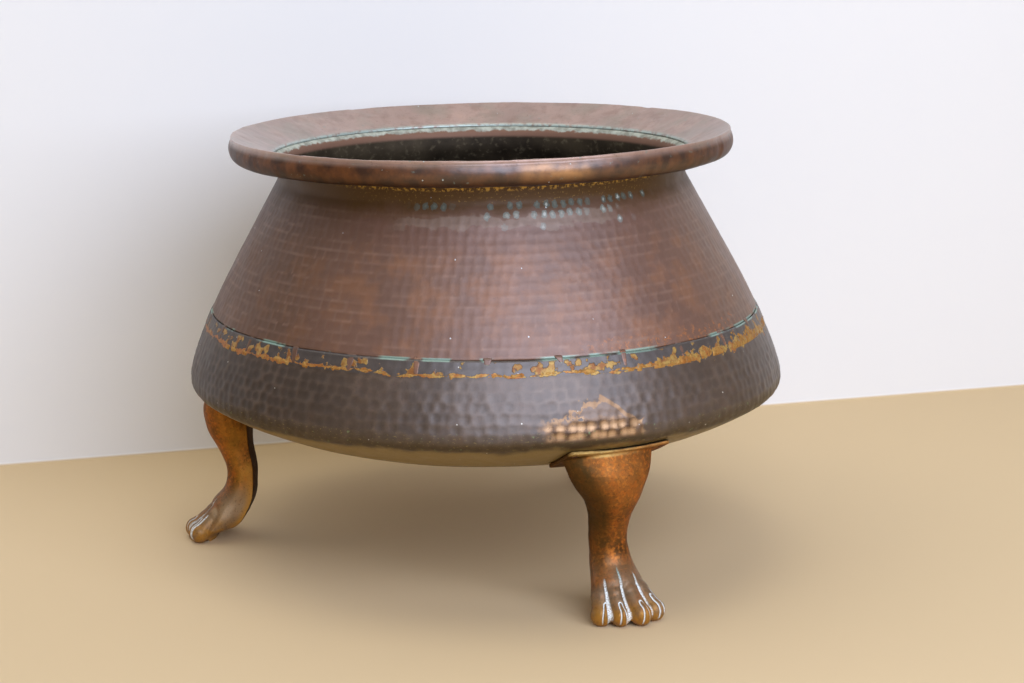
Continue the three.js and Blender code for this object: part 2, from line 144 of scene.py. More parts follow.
# Legs: angles in degrees around the pot
LEG_ANGLES = {"front": -64.5, "left": 175.5, "rear": 61.0}
LEG_VOXEL = 0.7
ROUND_POINTS = 34
PLATE_THICKNESS = 3.5
PLATE_FRONT = 247.0
PLATE_BACK = 199.0
PLATE_FRONT_WIDTH = 92.0
PLATE_BACK_WIDTH = 84.0
RIVET_RADIUS = 2.4
RIVET_HEAD_RADIUS = 5.5
RIVET_HEAD_HEIGHT = 2.6
RIVET_PLACES = ((241.0, -38.5), (241.0, 38.5), (206.0, -20.0), (206.0, 20.0))

# Floor, and the white wall behind the pot, in metres and degrees
FLOOR_FRONT = 3.5
FLOOR_HALF = 4.0
WALL_BACK = 0.38
WALL_HEIGHT = 2.6
WALL_TURN = 16.6
# Name, place, target, size, watts and colour of each lamp
LAMPS = (
    ("window", (0.92, -2.05, 1.3), (0.0, 0.0, 0.18), (2.6, 1.7), 78.0, "#dde6ff"),
    ("sky", (-0.35, 0.0, 2.2), (0.0, 0.0, 0.3), (1.8, 1.8), 22.0, "#fffaf0"),
)
ROOM_COLOUR = "#fbf2e6"
ROOM_LIGHT, ROOM_SEEN = 0.2, 0.9

# The photograph's camera, in pixels, metres, degrees and millimetres
IMAGE_WIDTH = 1024
FOCAL_PIXELS = 2187.1
CAMERA_BACK = 1.894464
CAMERA_UP = 0.591266
CAMERA_PITCH = 12.18
CAMERA_YAW = 0.692
CAMERA_ROLL = -0.06
SENSOR = 36.0


def srgb(text):
    """Linear colour from an sRGB hex value."""
    parts = [int(text[i:i + 2], 16) / 255 for i in (1, 3, 5)]
    return tuple(p / 12.92 if p <= 0.04045 else ((p + 0.055) / 1.055) ** 2.4 for p in parts)


# Settings in the sidebar

class CauldronSizes(PropertyGroup):
    wall_mark: FloatProperty(
        name="Wall mark", description="Width of a hammer mark on the wall",
        default=0.0078, min=0.004, max=0.02, unit="LENGTH")
    wall_row: FloatProperty(
        name="Wall row", description="Height of a row of hammer marks on the wall",
        default=0.0084, min=0.004, max=0.02, unit="LENGTH")
    wall_depth: FloatProperty(
        name="Wall mark depth", description="Depth of the hammer marks on the wall",
        default=0.00023, min=0.0, max=0.002, unit="LENGTH")
    bowl_mark: FloatProperty(
        name="Bowl mark", description="Width of a hammer mark on the bowl",
        default=0.0088, min=0.004, max=0.02, unit="LENGTH")
    bowl_depth: FloatProperty(
        name="Bowl mark depth", description="Depth of the hammer marks on the bowl",
        default=0.0004, min=0.0, max=0.002, unit="LENGTH")
    around: IntProperty(
        name="Steps around", description="Mesh steps around the sheet pieces",
        default=840, min=90, max=1200)


class CauldronColours(PropertyGroup):
    wall: FloatVectorProperty(
        name="Wall", description="Brown patina of the wall",
        subtype="COLOR", default=srgb("#724e3c"), min=0, max=1)
    bowl: FloatVectorProperty(
        name="Bowl", description="Dark patina of the bowl",
        subtype="COLOR", default=srgb("#4d3b2c"), min=0, max=1)
    rim: FloatVectorProperty(
        name="Rim", description="Pinkish-brown patina of the rim",
        subtype="COLOR", default=srgb("#a18475"), min=0, max=1)
    legs: FloatVectorProperty(
        name="Legs", description="Orange-brown patina of the cast legs",
        subtype="COLOR", default=srgb("#8f5a28"), min=0, max=1)
    brass: FloatVectorProperty(
        name="Brass", description="Brass in the seams",
        subtype="COLOR", default=srgb("#b48c4a"), min=0, max=1)
    floor: FloatVectorProperty(
        name="Floor", description="Pale floor",
        subtype="COLOR", default=srgb("#d9c096"), min=0, max=1)


# Outlines, as arrays of radius and height in millimetres

def heading(angle):
    return np.array([math.cos(math.radians(angle)), math.sin(math.radians(angle))])


def bezier(a, b, c, d, steps):
    t = np.linspace(0.0, 1.0, steps + 1)[:, None]
    return (1 - t) ** 3 * a + 3 * (1 - t) ** 2 * t * b + 3 * (1 - t) * t * t * c + t ** 3 * d


def bend(start, from_heading, to_heading, radius, steps):
    """Arc from a point, turning from one heading to another."""
    side = math.copysign(1.0, to_heading - from_heading)
    centre = start + heading(from_heading + 90 * side) * radius
    angles = np.linspace(from_heading, to_heading, steps + 1)[1:]
    return np.array([centre + heading(a - 90 * side) * radius for a in angles])


def offset_path(path, distance):
    """Path moved sideways: positive is to the left of its direction."""
    along = np.gradient(path, axis=0)
    along /= np.linalg.norm(along, axis=1)[:, None]
    left = np.stack([-along[:, 1], along[:, 0]], axis=1)
    return path + left * distance


def even_path(path, step):
    """The same path with points a step apart."""
    lengths = np.concatenate([[0.0], np.cumsum(np.linalg.norm(np.diff(path, axis=0), axis=1))])
    count = max(2, int(round(lengths[-1] / step)))
    at = np.linspace(0.0, lengths[-1], count + 1)
    return np.stack([np.interp(at, lengths, path[:, i]) for i in (0, 1)], axis=1)


OUTER_BELLY = BELLY_RADIUS - SKIN_INSET
BEND_START = np.array([
    OUTER_BELLY - BELLY_BEND * (1 - math.cos(math.radians(90 - UNDER_SLOPE))),
    BELLY_HEIGHT - BELLY_BEND * math.sin(math.radians(90 - UNDER_SLOPE)),
])
CONE_TOP = np.array([CONE_TOP_RADIUS, CONE_TOP_HEIGHT])
CONE = bezier(
    np.array([OUTER_BELLY, BELLY_HEIGHT]),
    np.array([OUTER_BELLY, BELLY_HEIGHT + BELLY_HOLD]),
    CONE_TOP - heading(90 + CONE_SLOPE) * CONE_HOLD,
    CONE_TOP,
    600,
)
DISH = bezier(
    np.array([FLAT_RADIUS, FLAT_HEIGHT]),
    np.array([FLAT_RADIUS + FLAT_HOLD, FLAT_HEIGHT]),
    BEND_START - heading(UNDER_SLOPE) * UNDER_HOLD,
    BEND_START,
    400,
)


def cone_part(low, high, inset=0.0):
    """Cone's outline between two heights, moved square inward."""
    moved = offset_path(CONE, inset)
    keep = (CONE[:, 1] >= low) & (CONE[:, 1] <= high)
    return moved[keep]


def seat_height(radius):
    """Height of the underside at a radius."""
    return np.interp(radius, DISH[:, 0], DISH[:, 1])


def neck_parts():
    """Outline of neck and lip, the lip's start and its end."""
    foot = bend(CONE_TOP, 90 + CONE_SLOPE, 90, NECK_BEND, 4)
    top = foot[-1] + np.array([0.0, NECK_LENGTH])
    curl = bend(top, 90, COLLAR_SLOPE, LIP_BEND, 6)
    lip_end = curl[-1] + heading(COLLAR_SLOPE) * LIP_WIDTH
    return np.vstack([foot, top, curl, lip_end]), curl[-1], lip_end


NECK, LIP_START, LIP_END = neck_parts()
MOUTH_HEIGHT = LIP_END[1] - BELLY_HEIGHT


def on_lip(along, above):
    return LIP_START + heading(COLLAR_SLOPE) * along + heading(COLLAR_SLOPE + 90) * above


# Patterns over the sheet: angle around the pot in radians, length along the outline

def drift(angle, along, cell, radius, seed):
    """Smooth random field from -1 to 1 with cells of about a size in millimetres."""
    columns = max(3, int(round(TURN * radius / cell)))
    x = (angle / TURN % 1.0) * columns
    y = along / cell + 200.0
    rows = int(y.max()) + 3
    table = np.random.default_rng(seed).uniform(-1.0, 1.0, (rows, columns))
    ix, iy = np.floor(x).astype(int), np.floor(y).astype(int)
    fx, fy = x - ix, y - iy
    fx, fy = fx * fx * (3 - 2 * fx), fy * fy * (3 - 2 * fy)
    ix, right = ix % columns, (ix + 1) % columns
    low = table[iy, ix] * (1 - fx) + table[iy, right] * fx
    high = table[iy + 1, ix] * (1 - fx) + table[iy + 1, right] * fx
    return low * (1 - fy) + high * fy


def hammer_marks(angle, along, radius_at, row, width, seed, scatter=0.18):
    """Nearest hammer mark of every point: squared distance from its middle (1 at its edge),
    how much of a ridge the point is, and two random numbers of the mark."""
    rows = int(along.max() / row) + 4
    around = TURN * radius_at((np.arange(rows) - 0.5) * row)
    counts = np.maximum(3, np.round(around / width)).astype(int)
    random = np.random.default_rng(seed).uniform(0.0, 1.0, (rows, counts.max(), 5))
    shift = np.cumsum(np.random.default_rng(seed + 1).uniform(-0.14, 0.14, rows))
    best = np.full(angle.shape, 1e9)
    ridge = np.zeros(angle.shape)
    found = np.zeros(angle.shape + (2,))
    base = np.floor(along / row).astype(int) + 1
    for step in (-1, 0, 1):
        index = np.clip(base + step, 0, rows - 1)
        count = counts[index]
        place = (angle / TURN % 1.0) * count - shift[index]
        for side in (-1, 0, 1):
            column = np.floor(place).astype(int) + side
            own = random[index, column % count]
            across = (column + 0.5 + (own[..., 0] - 0.5) * 2 * scatter - place) * 2
            up = ((index - 0.5 + (own[..., 1] - 0.5) * scatter) * row - along) / row * 2
            square = (across ** 2 + up ** 2) * 0.8
            nearer = square < best
            best = np.where(nearer, square, best)
            level_edge, upright_edge = (np.clip(at ** 2 - 0.5, 0, 0.6) for at in (up, across))
            edge = np.maximum(level_edge, 0.4 * upright_edge) / 0.6
            ridge = np.where(nearer, edge, ridge)
            found = np.where(nearer[..., None], own[..., 2:4], found)
    return best, ridge, found


def out_of_true(points):
    """The lean of the pot above its belly, and the tilt of its mouth."""
    above = np.maximum(points[:, 2] - BELLY_HEIGHT, 0.0)
    leaned = points.copy()
    leaned[:, 0] = points[:, 0] - MOUTH_LEAN * above
    leaned[:, 2] = points[:, 2] + MOUTH_TILT * points[:, 0] * above / MOUTH_HEIGHT
    return leaned


def ease(value, low, high):
    share = np.clip((value - low) / (high - low), 0.0, 1.0)
    return share * share * (3 - 2 * share)


def near_angle(angle, middle, half, soft):
    """1 near an angle counted from the front toward the right, in degrees, and 0 away from it."""
    from_front = np.degrees(angle) + 90.0
    away = np.abs((from_front - middle + 180.0) % 360.0 - 180.0)
    return 1.0 - ease(away, half, half + soft)


# Mesh tools

def turned_mesh(name, path, steps, closed=True):
    """Mesh from a path of radius and height, laid around the pot's axis as a rolled-up grid.
    The attribute ring keeps each point's place on the path."""
    bm = bmesh.new()
    rows = len(path) if closed else len(path) - 1
    bmesh.ops.create_grid(bm, x_segments=steps, y_segments=rows, size=1.0)
    ring = bm.verts.layers.float.new("ring")
    joined = []
    for vert in bm.verts:
        column = round((vert.co.x + 1) / 2 * steps)
        row = round((vert.co.y + 1) / 2 * rows)
        radius, height = path[row % len(path)]
        turn = TURN * (column % steps) / steps
        vert.co = (radius * math.sin(turn), -radius * math.cos(turn), height)
        vert[ring] = row % len(path)
        if column in (0, steps) or radius < 1e-4 or (closed and row in (0, rows)):
            joined.append(vert)
    bmesh.ops.remove_doubles(bm, verts=joined, dist=1e-4)
    bmesh.ops.recalc_face_normals(bm, faces=bm.faces)
    mesh = bpy.data.meshes.new(name)
    bm.to_mesh(mesh)
    bm.free()
    return mesh


def read_points(mesh):
    points = np.empty(len(mesh.vertices) * 3)
    mesh.vertices.foreach_get("co", points)
    return points.reshape(-1, 3)


def write_points(mesh, points):
    """Stores points given in millimetres from the pot's axis."""
    placed = points * MM + np.array(AXIS)
    mesh.vertices.foreach_set("co", placed.ravel())
    mesh.update()


def read_ring(mesh):
    rings = np.empty(len(mesh.vertices))
    mesh.attributes["ring"].data.foreach_get("value", rings)
    return np.round(rings).astype(int)


def write_value(mesh, name, values):
    layer = mesh.attributes.new(name, "FLOAT", "POINT")
    layer.data.foreach_set("value", np.asarray(values, np.float32))


def path_facts(path):
    """Length along the path and the outward side of it at each point."""
    steps = np.linalg.norm(np.diff(path, axis=0), axis=1)
    along = np.concatenate([[0.0], np.cumsum(steps)])
    tangent = np.gradient(path, axis=0)
    tangent /= np.linalg.norm(tangent, axis=1)[:, None]
    outward = np.stack([tangent[:, 1], -tangent[:, 0]], axis=1)
    return along, outward


def pushed(points, radius_side, height_side, distance):
    """Points moved along their side of the outline by a distance in millimetres."""
    flat = np.hypot(points[:, 0], points[:, 1])
    flat = np.where(flat < 1e-6, 1e-6, flat)
    moved = points.copy()
    moved[:, 0] += points[:, 0] / flat * radius_side * distance
    moved[:, 1] += points[:, 1] / flat * radius_side * distance
    moved[:, 2] += height_side * distance
    return moved


def thicken(bm, verts, outward, thickness):
    """Turns a patch outward and gives it its thickness on the other side."""
    faces = list(dict.fromkeys(f for v in verts for f in v.link_faces))
    bmesh.ops.recalc_face_normals(bm, faces=faces)
    if sum(face.normal.dot(outward) for face in faces) < 0:
        bmesh.ops.reverse_faces(bm, faces=faces)
    bmesh.ops.solidify(bm, geom=faces, thickness=thickness)


def put_in_order(bm):
    """Sorts points and faces by place, because solidify leaves their order open."""
    for parts, place in ((bm.verts, lambda v: v.co[:]),
                         (bm.faces, lambda f: f.calc_center_median()[:])):
        rank = {part: i for i, part in enumerate(sorted(parts, key=place))}
        parts.sort(key=rank.get)


def finish_piece(mesh, materials, nodes):
    piece = bpy.data.objects.new(mesh.name, mesh)
    bpy.context.scene.collection.objects.link(piece)
    for material in materials:
        mesh.materials.append(material)
    mesh.shade_smooth()
    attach(piece, "root")
    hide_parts(*nodes)


class Sheet:
    """Turned sheet while it is shaped: its mesh, and for each point its ring on the path, its
    place, its angle around the pot, and its height and length on the path."""

    def __init__(self, name, path, outer, steps, closed=True):
        self.mesh = turned_mesh(name, path, steps, closed)
        self.path, self.outer = path, outer
        self.lengths, self.side = path_facts(path)
        self.rings, self.points = read_ring(self.mesh), read_points(self.mesh)
        self.angle = np.arctan2(self.points[:, 1], self.points[:, 0])
        self.heights, self.length = path[self.rings, 1], self.lengths[self.rings]
        write_value(self.mesh, "level", self.heights)

    def marks(self, length, row, width, seed, scatter=0.18, first=0.0):
        """Hammer marks as hammer_marks gives them, and how deep in its mark each point lies."""
        def radius_at(at):
            return np.interp(at + first, self.lengths[:self.outer], self.path[:self.outer, 0])
        found = hammer_marks(self.angle, length, radius_at, row, width, seed, scatter)
        return *found, 1.0 - np.minimum(found[0], 1.25)

    def waves(self, table):
        return sum(drift(self.angle, self.length, cell, radius, seed) * height
                   for cell, radius, seed, height in table)

    def press(self, distance, side=None):
        """Moves the points along the sheet's outward side, or along a given one."""
        radius_side, height_side = self.side[self.rings].T if side is None else side
        self.points = pushed(self.points, radius_side, height_side, distance)

    def finish(self, materials, nodes):
        write_points(self.mesh, out_of_true(self.points))
        finish_piece(self.mesh, materials, nodes)


# Materials. Sizes and heights are in millimetres, angles in degrees from the front to the right.

def add(tree, kind, inputs=None, **settings):
    """One node with its settings and its values or links by socket."""
    made = tree.nodes.new(kind)
    for key, value in settings.items():
        setattr(made, key, value)
    for key, value in (inputs or {}).items():
        if isinstance(value, bpy.types.NodeSocket):
            tree.links.new(value, made.inputs[key])
        else:
            made.inputs[key].default_value = value
    return made


def per_metre(size_mm):
    """Texture scale for a pattern of a real size in millimetres."""
    return 1.0 / (size_mm * MM)


def shade(colour, factor):
    return tuple(c * factor for c in colour)


def as_colour(value):
    """Hex text or a plain colour as a socket's value. A socket stays as it is."""
    if isinstance(value, bpy.types.NodeSocket):
        return value
    return (*(srgb(value) if isinstance(value, str) else tuple(value)), 1.0)


class Skin:
    """Material while it is made: its nodes, the piece's own coordinates and the colour so far."""

    def __init__(self, name):
        self.material = bpy.data.materials.new(name)
        self.material.use_nodes = True
        self.tree = self.material.node_tree
        self.tree.nodes.clear()
        self.place = self.add("ShaderNodeTexCoord").outputs["Object"]
        self.colour = None

    def add(self, kind, inputs=None, **settings):
        return add(self.tree, kind, inputs, **settings)

    def maths(self, operation, *values, clamp=False):
        return self.add("ShaderNodeMath", dict(enumerate(values)),
                        operation=operation, use_clamp=clamp).outputs[0]

    def times(self, product, *values):
        for value in values:
            product = self.maths("MULTIPLY", product, value, clamp=True)
        return product

    def most(self, largest, *values):
        for value in values:
            largest = self.maths("MAXIMUM", largest, value)
        return largest

    def less(self, value, taken):
        return self.maths("SUBTRACT", value, taken)

    def shifted(self, value, by, mask):
        """Value that is moved by an amount where the mask is 1."""
        return self.maths("MULTIPLY_ADD", mask, by, value)

    def attribute(self, name):
        return self.add("ShaderNodeAttribute", attribute_name=name).outputs["Fac"]

    def split(self, vector):
        return self.add("ShaderNodeSeparateXYZ", {"Vector": vector}).outputs

    def joined(self, x, y):
        return self.add("ShaderNodeCombineXYZ", {"X": x, "Y": y}).outputs[0]

    def two_random(self, colour):
        return self.add("ShaderNodeSeparateColor", {"Color": colour}).outputs[:2]

    def ranged(self, value, low, high, **settings):
        return self.add("ShaderNodeMapRange", {
            "Value": value, "From Min": low, "From Max": high}, **settings).outputs[0]

    def rise(self, value, low, high):
        """Smooth step from 0 at the first value to 1 at the second, either way round."""
        return self.ranged(value, low, high, interpolation_type="SMOOTHSTEP")

    def within(self, value, low, high, soft):
        """1 between two values, with soft edges outside them."""
        return self.times(self.rise(value, low - soft, low), self.rise(value, high + soft, high))

    def scaled(self, mask, low, high):
        return self.add("ShaderNodeMapRange", {
            "Value": mask, "To Min": low, "To Max": high}).outputs[0]

    def noise(self, vector, scale, low, high, detail, roughness):
        """Soft mask from noise: 0 below the low mark and 1 above the high one."""
        made = self.add("ShaderNodeTexNoise", {
            "Vector": vector, "Scale": scale, "Detail": detail, "Roughness": roughness})
        return self.ranged(made.outputs["Fac"], low, high)

    def clouds(self, size_mm, low, high, detail=3.0, roughness=0.55):
        return self.noise(self.place, per_metre(size_mm), low, high, detail, roughness)

    def mixed(self, strength, under, over):
        """Colour laid over another with a strength from 0 to 1."""
        return self.add("ShaderNodeMix", {0: strength, 6: as_colour(under), 7: as_colour(over)},
                        data_type="RGBA").outputs[2]

    def base(self, under, over, *cloud):
        self.colour = self.mixed(self.clouds(*cloud), under, over)

    def lay(self, colour, *masks):
        """Lays a colour over what is there, as strong as the product of the masks."""
        self.colour = self.mixed(self.times(*masks), self.colour, colour)

    def raised(self, height, strength, distance_mm, **normal):
        return self.add("ShaderNodeBump", {
            "Height": height, "Strength": strength, "Distance": distance_mm * MM,
            **normal}).outputs[0]

    def grain(self, size_mm, strength, distance_mm, detail=4.0):
        return self.raised(self.clouds(size_mm, 0.0, 1.0, detail), strength, distance_mm)

    def metal(self, roughness, metallic, normal, film=0.0, film_roughness=0.35):
        """Metal under its patina. The film is thin oxide or wax, which mirrors cool light."""
        shader = self.add("ShaderNodeBsdfPrincipled", {
            "Base Color": self.colour, "Roughness": roughness, "Metallic": metallic,
            "Normal": normal, "Specular Tint": as_colour(EDGE_TINT), "Coat Weight": film,
            "Coat Roughness": film_roughness, "Coat IOR": FILM_IOR, "Coat Normal": normal})
        self.add("ShaderNodeOutputMaterial", {"Surface": shader.outputs[0]})
        return self.material


class SheetSkin(Skin):
    """Skin of a turned sheet, which knows where a point is: its degrees, its length around the
    pot, and its level, the height that it had before the pot was bent out of true."""

    def __init__(self, name):
        super().__init__(name)
        parts = self.split(self.place)
        turn = self.maths("ARCTAN2", self.less(parts["X"], AXIS.x),
                          self.maths("MULTIPLY", parts["Y"], -1.0))
        self.degrees = self.maths("MULTIPLY", turn, math.degrees(1.0))
        self.around = self.maths("MULTIPLY", turn, MEAN_RADIUS)
        self.level = self.attribute("level")

    def at_angle(self, low, high, soft):
        return self.within(self.degrees, low, high, soft)

    def at_level(self, low, high, soft):
        return self.within(self.level, low, high, soft)

    def left_side(self):
        return self.at_angle(-130.0, -50.0, 34.0)

    def right_side(self):
        return self.at_angle(72.0, 130.0, 32.0)

    def sheen(self):
        """The film is thinner toward the pot's sides, most of all at the left."""
        return self.times(self.scaled(self.left_side(), 1.0, 0.2),
                          self.scaled(self.right_side(), 1.0, 0.65))

    def splashes(self, size_mm, stretch, low, high):
        """Mask like clouds, but flat on the sheet and drawn out around the pot."""
        flat = self.joined(self.around, self.maths("MULTIPLY", self.level, stretch))
        return self.noise(flat, 1.0 / size_mm, low, high, 5.0, 0.62)

    def dust(self, colour, cell_mm, radius_mm, share):
        """Single pale grains, about one to a cell, of which only a share is there."""
        cells = self.add("ShaderNodeTexVoronoi", {
            "Vector": self.joined(self.around, self.level), "Scale": 1.0 / cell_mm},
            voronoi_dimensions="2D")
        chance, size = self.two_random(cells.outputs["Color"])
        reach = self.scaled(size, 0.4 * radius_mm / cell_mm, radius_mm / cell_mm)
        self.lay(colour, self.maths("LESS_THAN", cells.outputs["Distance"], reach),
                 self.maths("LESS_THAN", chance, share))


def oval_row(skin, height, shift):
    """Row of upright ovals, one to a hammer mark. Gives how far a point is from the middle
    of its oval, and the oval's own random number."""
    cell = skin.shifted(shift, 1.0 / OVAL_STEP, skin.around)
    own = skin.add("ShaderNodeTexWhiteNoise", {"W": skin.maths("FLOOR", cell)},
                   noise_dimensions="1D")
    aside, higher = skin.two_random(own.outputs["Color"])
    across = skin.less(skin.maths("FRACT", cell), skin.scaled(aside, 0.38, 0.62))
    up = skin.less(skin.level, skin.shifted(height - 0.8, 1.6, higher))
    offset = skin.joined(skin.maths("MULTIPLY", across, 2.0 * OVAL_STEP / OVAL_WIDTH),
                         skin.maths("MULTIPLY", up, 2.0 / OVAL_TALL))
    away = skin.add("ShaderNodeVectorMath", {0: offset}, operation="LENGTH").outputs["Value"]
    return away, own.outputs["Value"]


def verdigris_rows(skin):
    """Blue-grey oxide in two rows of hammer marks under the neck, and a few in a third."""
    edge = skin.clouds(2.4, 0.2, 0.8)
    for height, shift, low, high, missing, ring, middle in OXIDE_ROWS:
        away, own = oval_row(skin, height, shift)
        rough = skin.shifted(away, 0.8, edge)
        oval = skin.rise(rough, 1.40, 1.10)
        there = skin.times(skin.rise(own, missing, missing + 0.25), skin.at_angle(low, high, 7.0))
        skin.lay(middle, 0.85, oval, there)
        skin.lay(ring, 0.55, oval, skin.rise(rough, 0.55, 1.0), there)
        skin.lay("#c4cac2", skin.rise(own, 0.66, 0.95), skin.rise(rough, 0.95, 0.5),
                 skin.rise(skin.degrees, 4.0, 24.0), there)


def patina_copper(colours):
    """Hammered copper sheet with an old brown patina: a dull, cool sheen over warm brown, ridges
    rubbed brighter, painted shade with an olive tint under the rim, painted shade on the left side
    and a painted warm reflection on the right side, blue-grey oxide in the marks of two rows."""
    skin = SheetSkin("hammered_copper_brown_patina")
    skin.base(shade(colours.wall, 0.85), shade(colours.wall, 1.12), 90.0, 0.35, 0.68)
    skin.lay("#935f38", 0.55, skin.clouds(20.0, 0.44, 0.66, 4.0),
             skin.at_level(226.0, 290.0, 25.0))
    # Painted shade on the left side, and a painted warm reflection on the right side.
    skin.lay("#49341f", 0.62, skin.left_side())
    skin.lay("#6e5338", 0.45, skin.right_side())
    skin.lay("#5e3f2c", 0.22, skin.attribute("tone"))
    skin.lay("#ab8a76", skin.attribute("ridge"),
             skin.scaled(skin.clouds(30.0, 0.3, 0.7), 0.05, 0.32))
    skin.lay("#3a2a22", 0.22, skin.clouds(1.6, 0.60, 0.76, 2.0))
    # Painted shade under the rim, with an olive tint; the film and the metal are thinned there too.
    under_rim_level = skin.shifted(skin.level, 8.0, skin.clouds(16.0, 0.3, 0.7))
    olive_shade_under_rim = skin.rise(under_rim_level, 316.0, 341.0)
    skin.lay("#523a18", 0.9, olive_shade_under_rim)
    skin.lay("#8a7866", 0.4, skin.within(under_rim_level, 318.0, 325.0, 1.5),
             skin.at_angle(-18.0, 30.0, 8.0))
    skin.lay("#c09440", skin.at_level(343.5, 348.0, 2.5), skin.at_angle(-30.0, 50.0, 16.0),
             skin.splashes(4.6, 1.3, 0.50, 0.57))
    skin.lay("#8f7238", 0.7, skin.at_level(334.0, 344.0, 4.0), skin.at_angle(-30.0, 46.0, 12.0),
             skin.splashes(2.6, 1.2, 0.60, 0.64))
    verdigris_rows(skin)
    skin.lay("#a5642f", 0.8, skin.at_level(216.0, 227.0, 5.0), skin.at_angle(24.0, 60.0, 8.0),
             skin.clouds(4.2, 0.55, 0.60, 5.0, 0.7))
    skin.lay(VERDIGRIS, 0.85, skin.rise(skin.level, SEAM_HEIGHT + 2.4, SEAM_HEIGHT + 1.4),
             skin.clouds(30.0, 0.47, 0.54))
    skin.dust("#cfd6d8", 30.0, 0.65, 0.2)
    rough = skin.scaled(skin.clouds(24.0, 0.3, 0.7), 0.42, 0.55)
    film = skin.times(skin.scaled(olive_shade_under_rim, 1.0, 0.05), skin.sheen())
    return skin.metal(rough, skin.scaled(olive_shade_under_rim, 0.22, 0.05), skin.grain(3.0, 0.2, 0.35), film, 0.50)


def brass_smears(skin):
    """Spelter that ran out of the seam: ragged golden and orange smears along the margin's edge,
    and drops of it above. Gives where it lies."""
    wander = skin.shifted(LOW_LINE - 2.5, 5.0, skin.clouds(38.0, 0.3, 0.7))
    away = skin.maths("ABSOLUTE", skin.less(skin.level, wander))
    heavy = skin.maths("ADD", skin.at_angle(44.0, 78.0, 14.0),
                       skin.times(0.25, skin.at_angle(-78.0, -44.0, 12.0)), clamp=True)
    near = skin.maths("DIVIDE", away, skin.scaled(heavy, 2.5, 8.0))
    near = skin.maths("SUBTRACT", 1.0, near, clamp=True)
    ragged = skin.maths("MULTIPLY", skin.splashes(9.0, 1.25, 0.36, 0.68), 0.6)
    amount = skin.shifted(ragged, 0.57, near)
    smear = skin.times(skin.rise(amount, 0.63, 0.68), skin.rise(near, 0.02, 0.2))
    golden = skin.times(skin.clouds(6.0, 0.38, 0.56, 4.0), skin.rise(skin.degrees, -60.0, 0.0))
    brass = skin.mixed(golden, "#a66a34", "#b39250")
    skin.lay(skin.mixed(skin.times(0.7, skin.clouds(2.2, 0.50, 0.68)), brass, "#6e4d28"), smear)
    drops = skin.times(skin.at_level(SEAM_HEIGHT - 10.0, SEAM_HEIGHT - 2.5, 2.0),
                       skin.at_angle(-75.0, 75.0, 8.0), skin.clouds(9.0, 0.57, 0.60, 3.0, 0.5))
    skin.lay(skin.mixed(skin.clouds(5.0, 0.4, 0.6), "#8a5a30", "#ab8a4c"), drops)
    return skin.most(smear, drops)


def rubbed_patch_and_highlight(skin):
    """Worn place over the front leg, painted brighter as a highlight: bright copper below, with
    painted glints in the dents and painted shade on their rims, and a thinner wear above it with a
    pale edge. Gives where it lies."""
    ragged = skin.shifted(-5.0, 10.0, skin.clouds(13.0, 0.3, 0.7, 4.0))
    turned = skin.shifted(skin.degrees, 0.35, ragged)
    peak = skin.shifted(173.0, 14.0, skin.within(turned, 18.5, 21.5, 5.0))
    inside = skin.less(skin.maths("ADD", peak, ragged), skin.level)
    across = skin.within(turned, 11.5, 26.5, 2.0)
    patch = skin.times(skin.rise(inside, 0.0, 1.6), across, skin.rise(skin.level, 155.0, 160.0))
    bright = skin.times(patch, skin.rise(skin.maths("ADD", skin.level, ragged), 175.0, 168.0))
    skin.lay("#7b5e44", 0.55, patch)
    skin.lay("#8f6a44", 0.85, bright)
    border = skin.times(skin.within(inside, 0.6, 3.0, 1.4), across)
    skin.lay("#9b7750", 0.75, border)
    # Painted shade on the rims of the marks and painted glints in their dents, in the bright part.
    skin.lay("#402c1c", 0.85, bright, skin.attribute("ridge"))
    skin.lay("#d2ab80", 0.7, bright, skin.attribute("cup"))
    return skin.most(bright, skin.times(0.7, border))


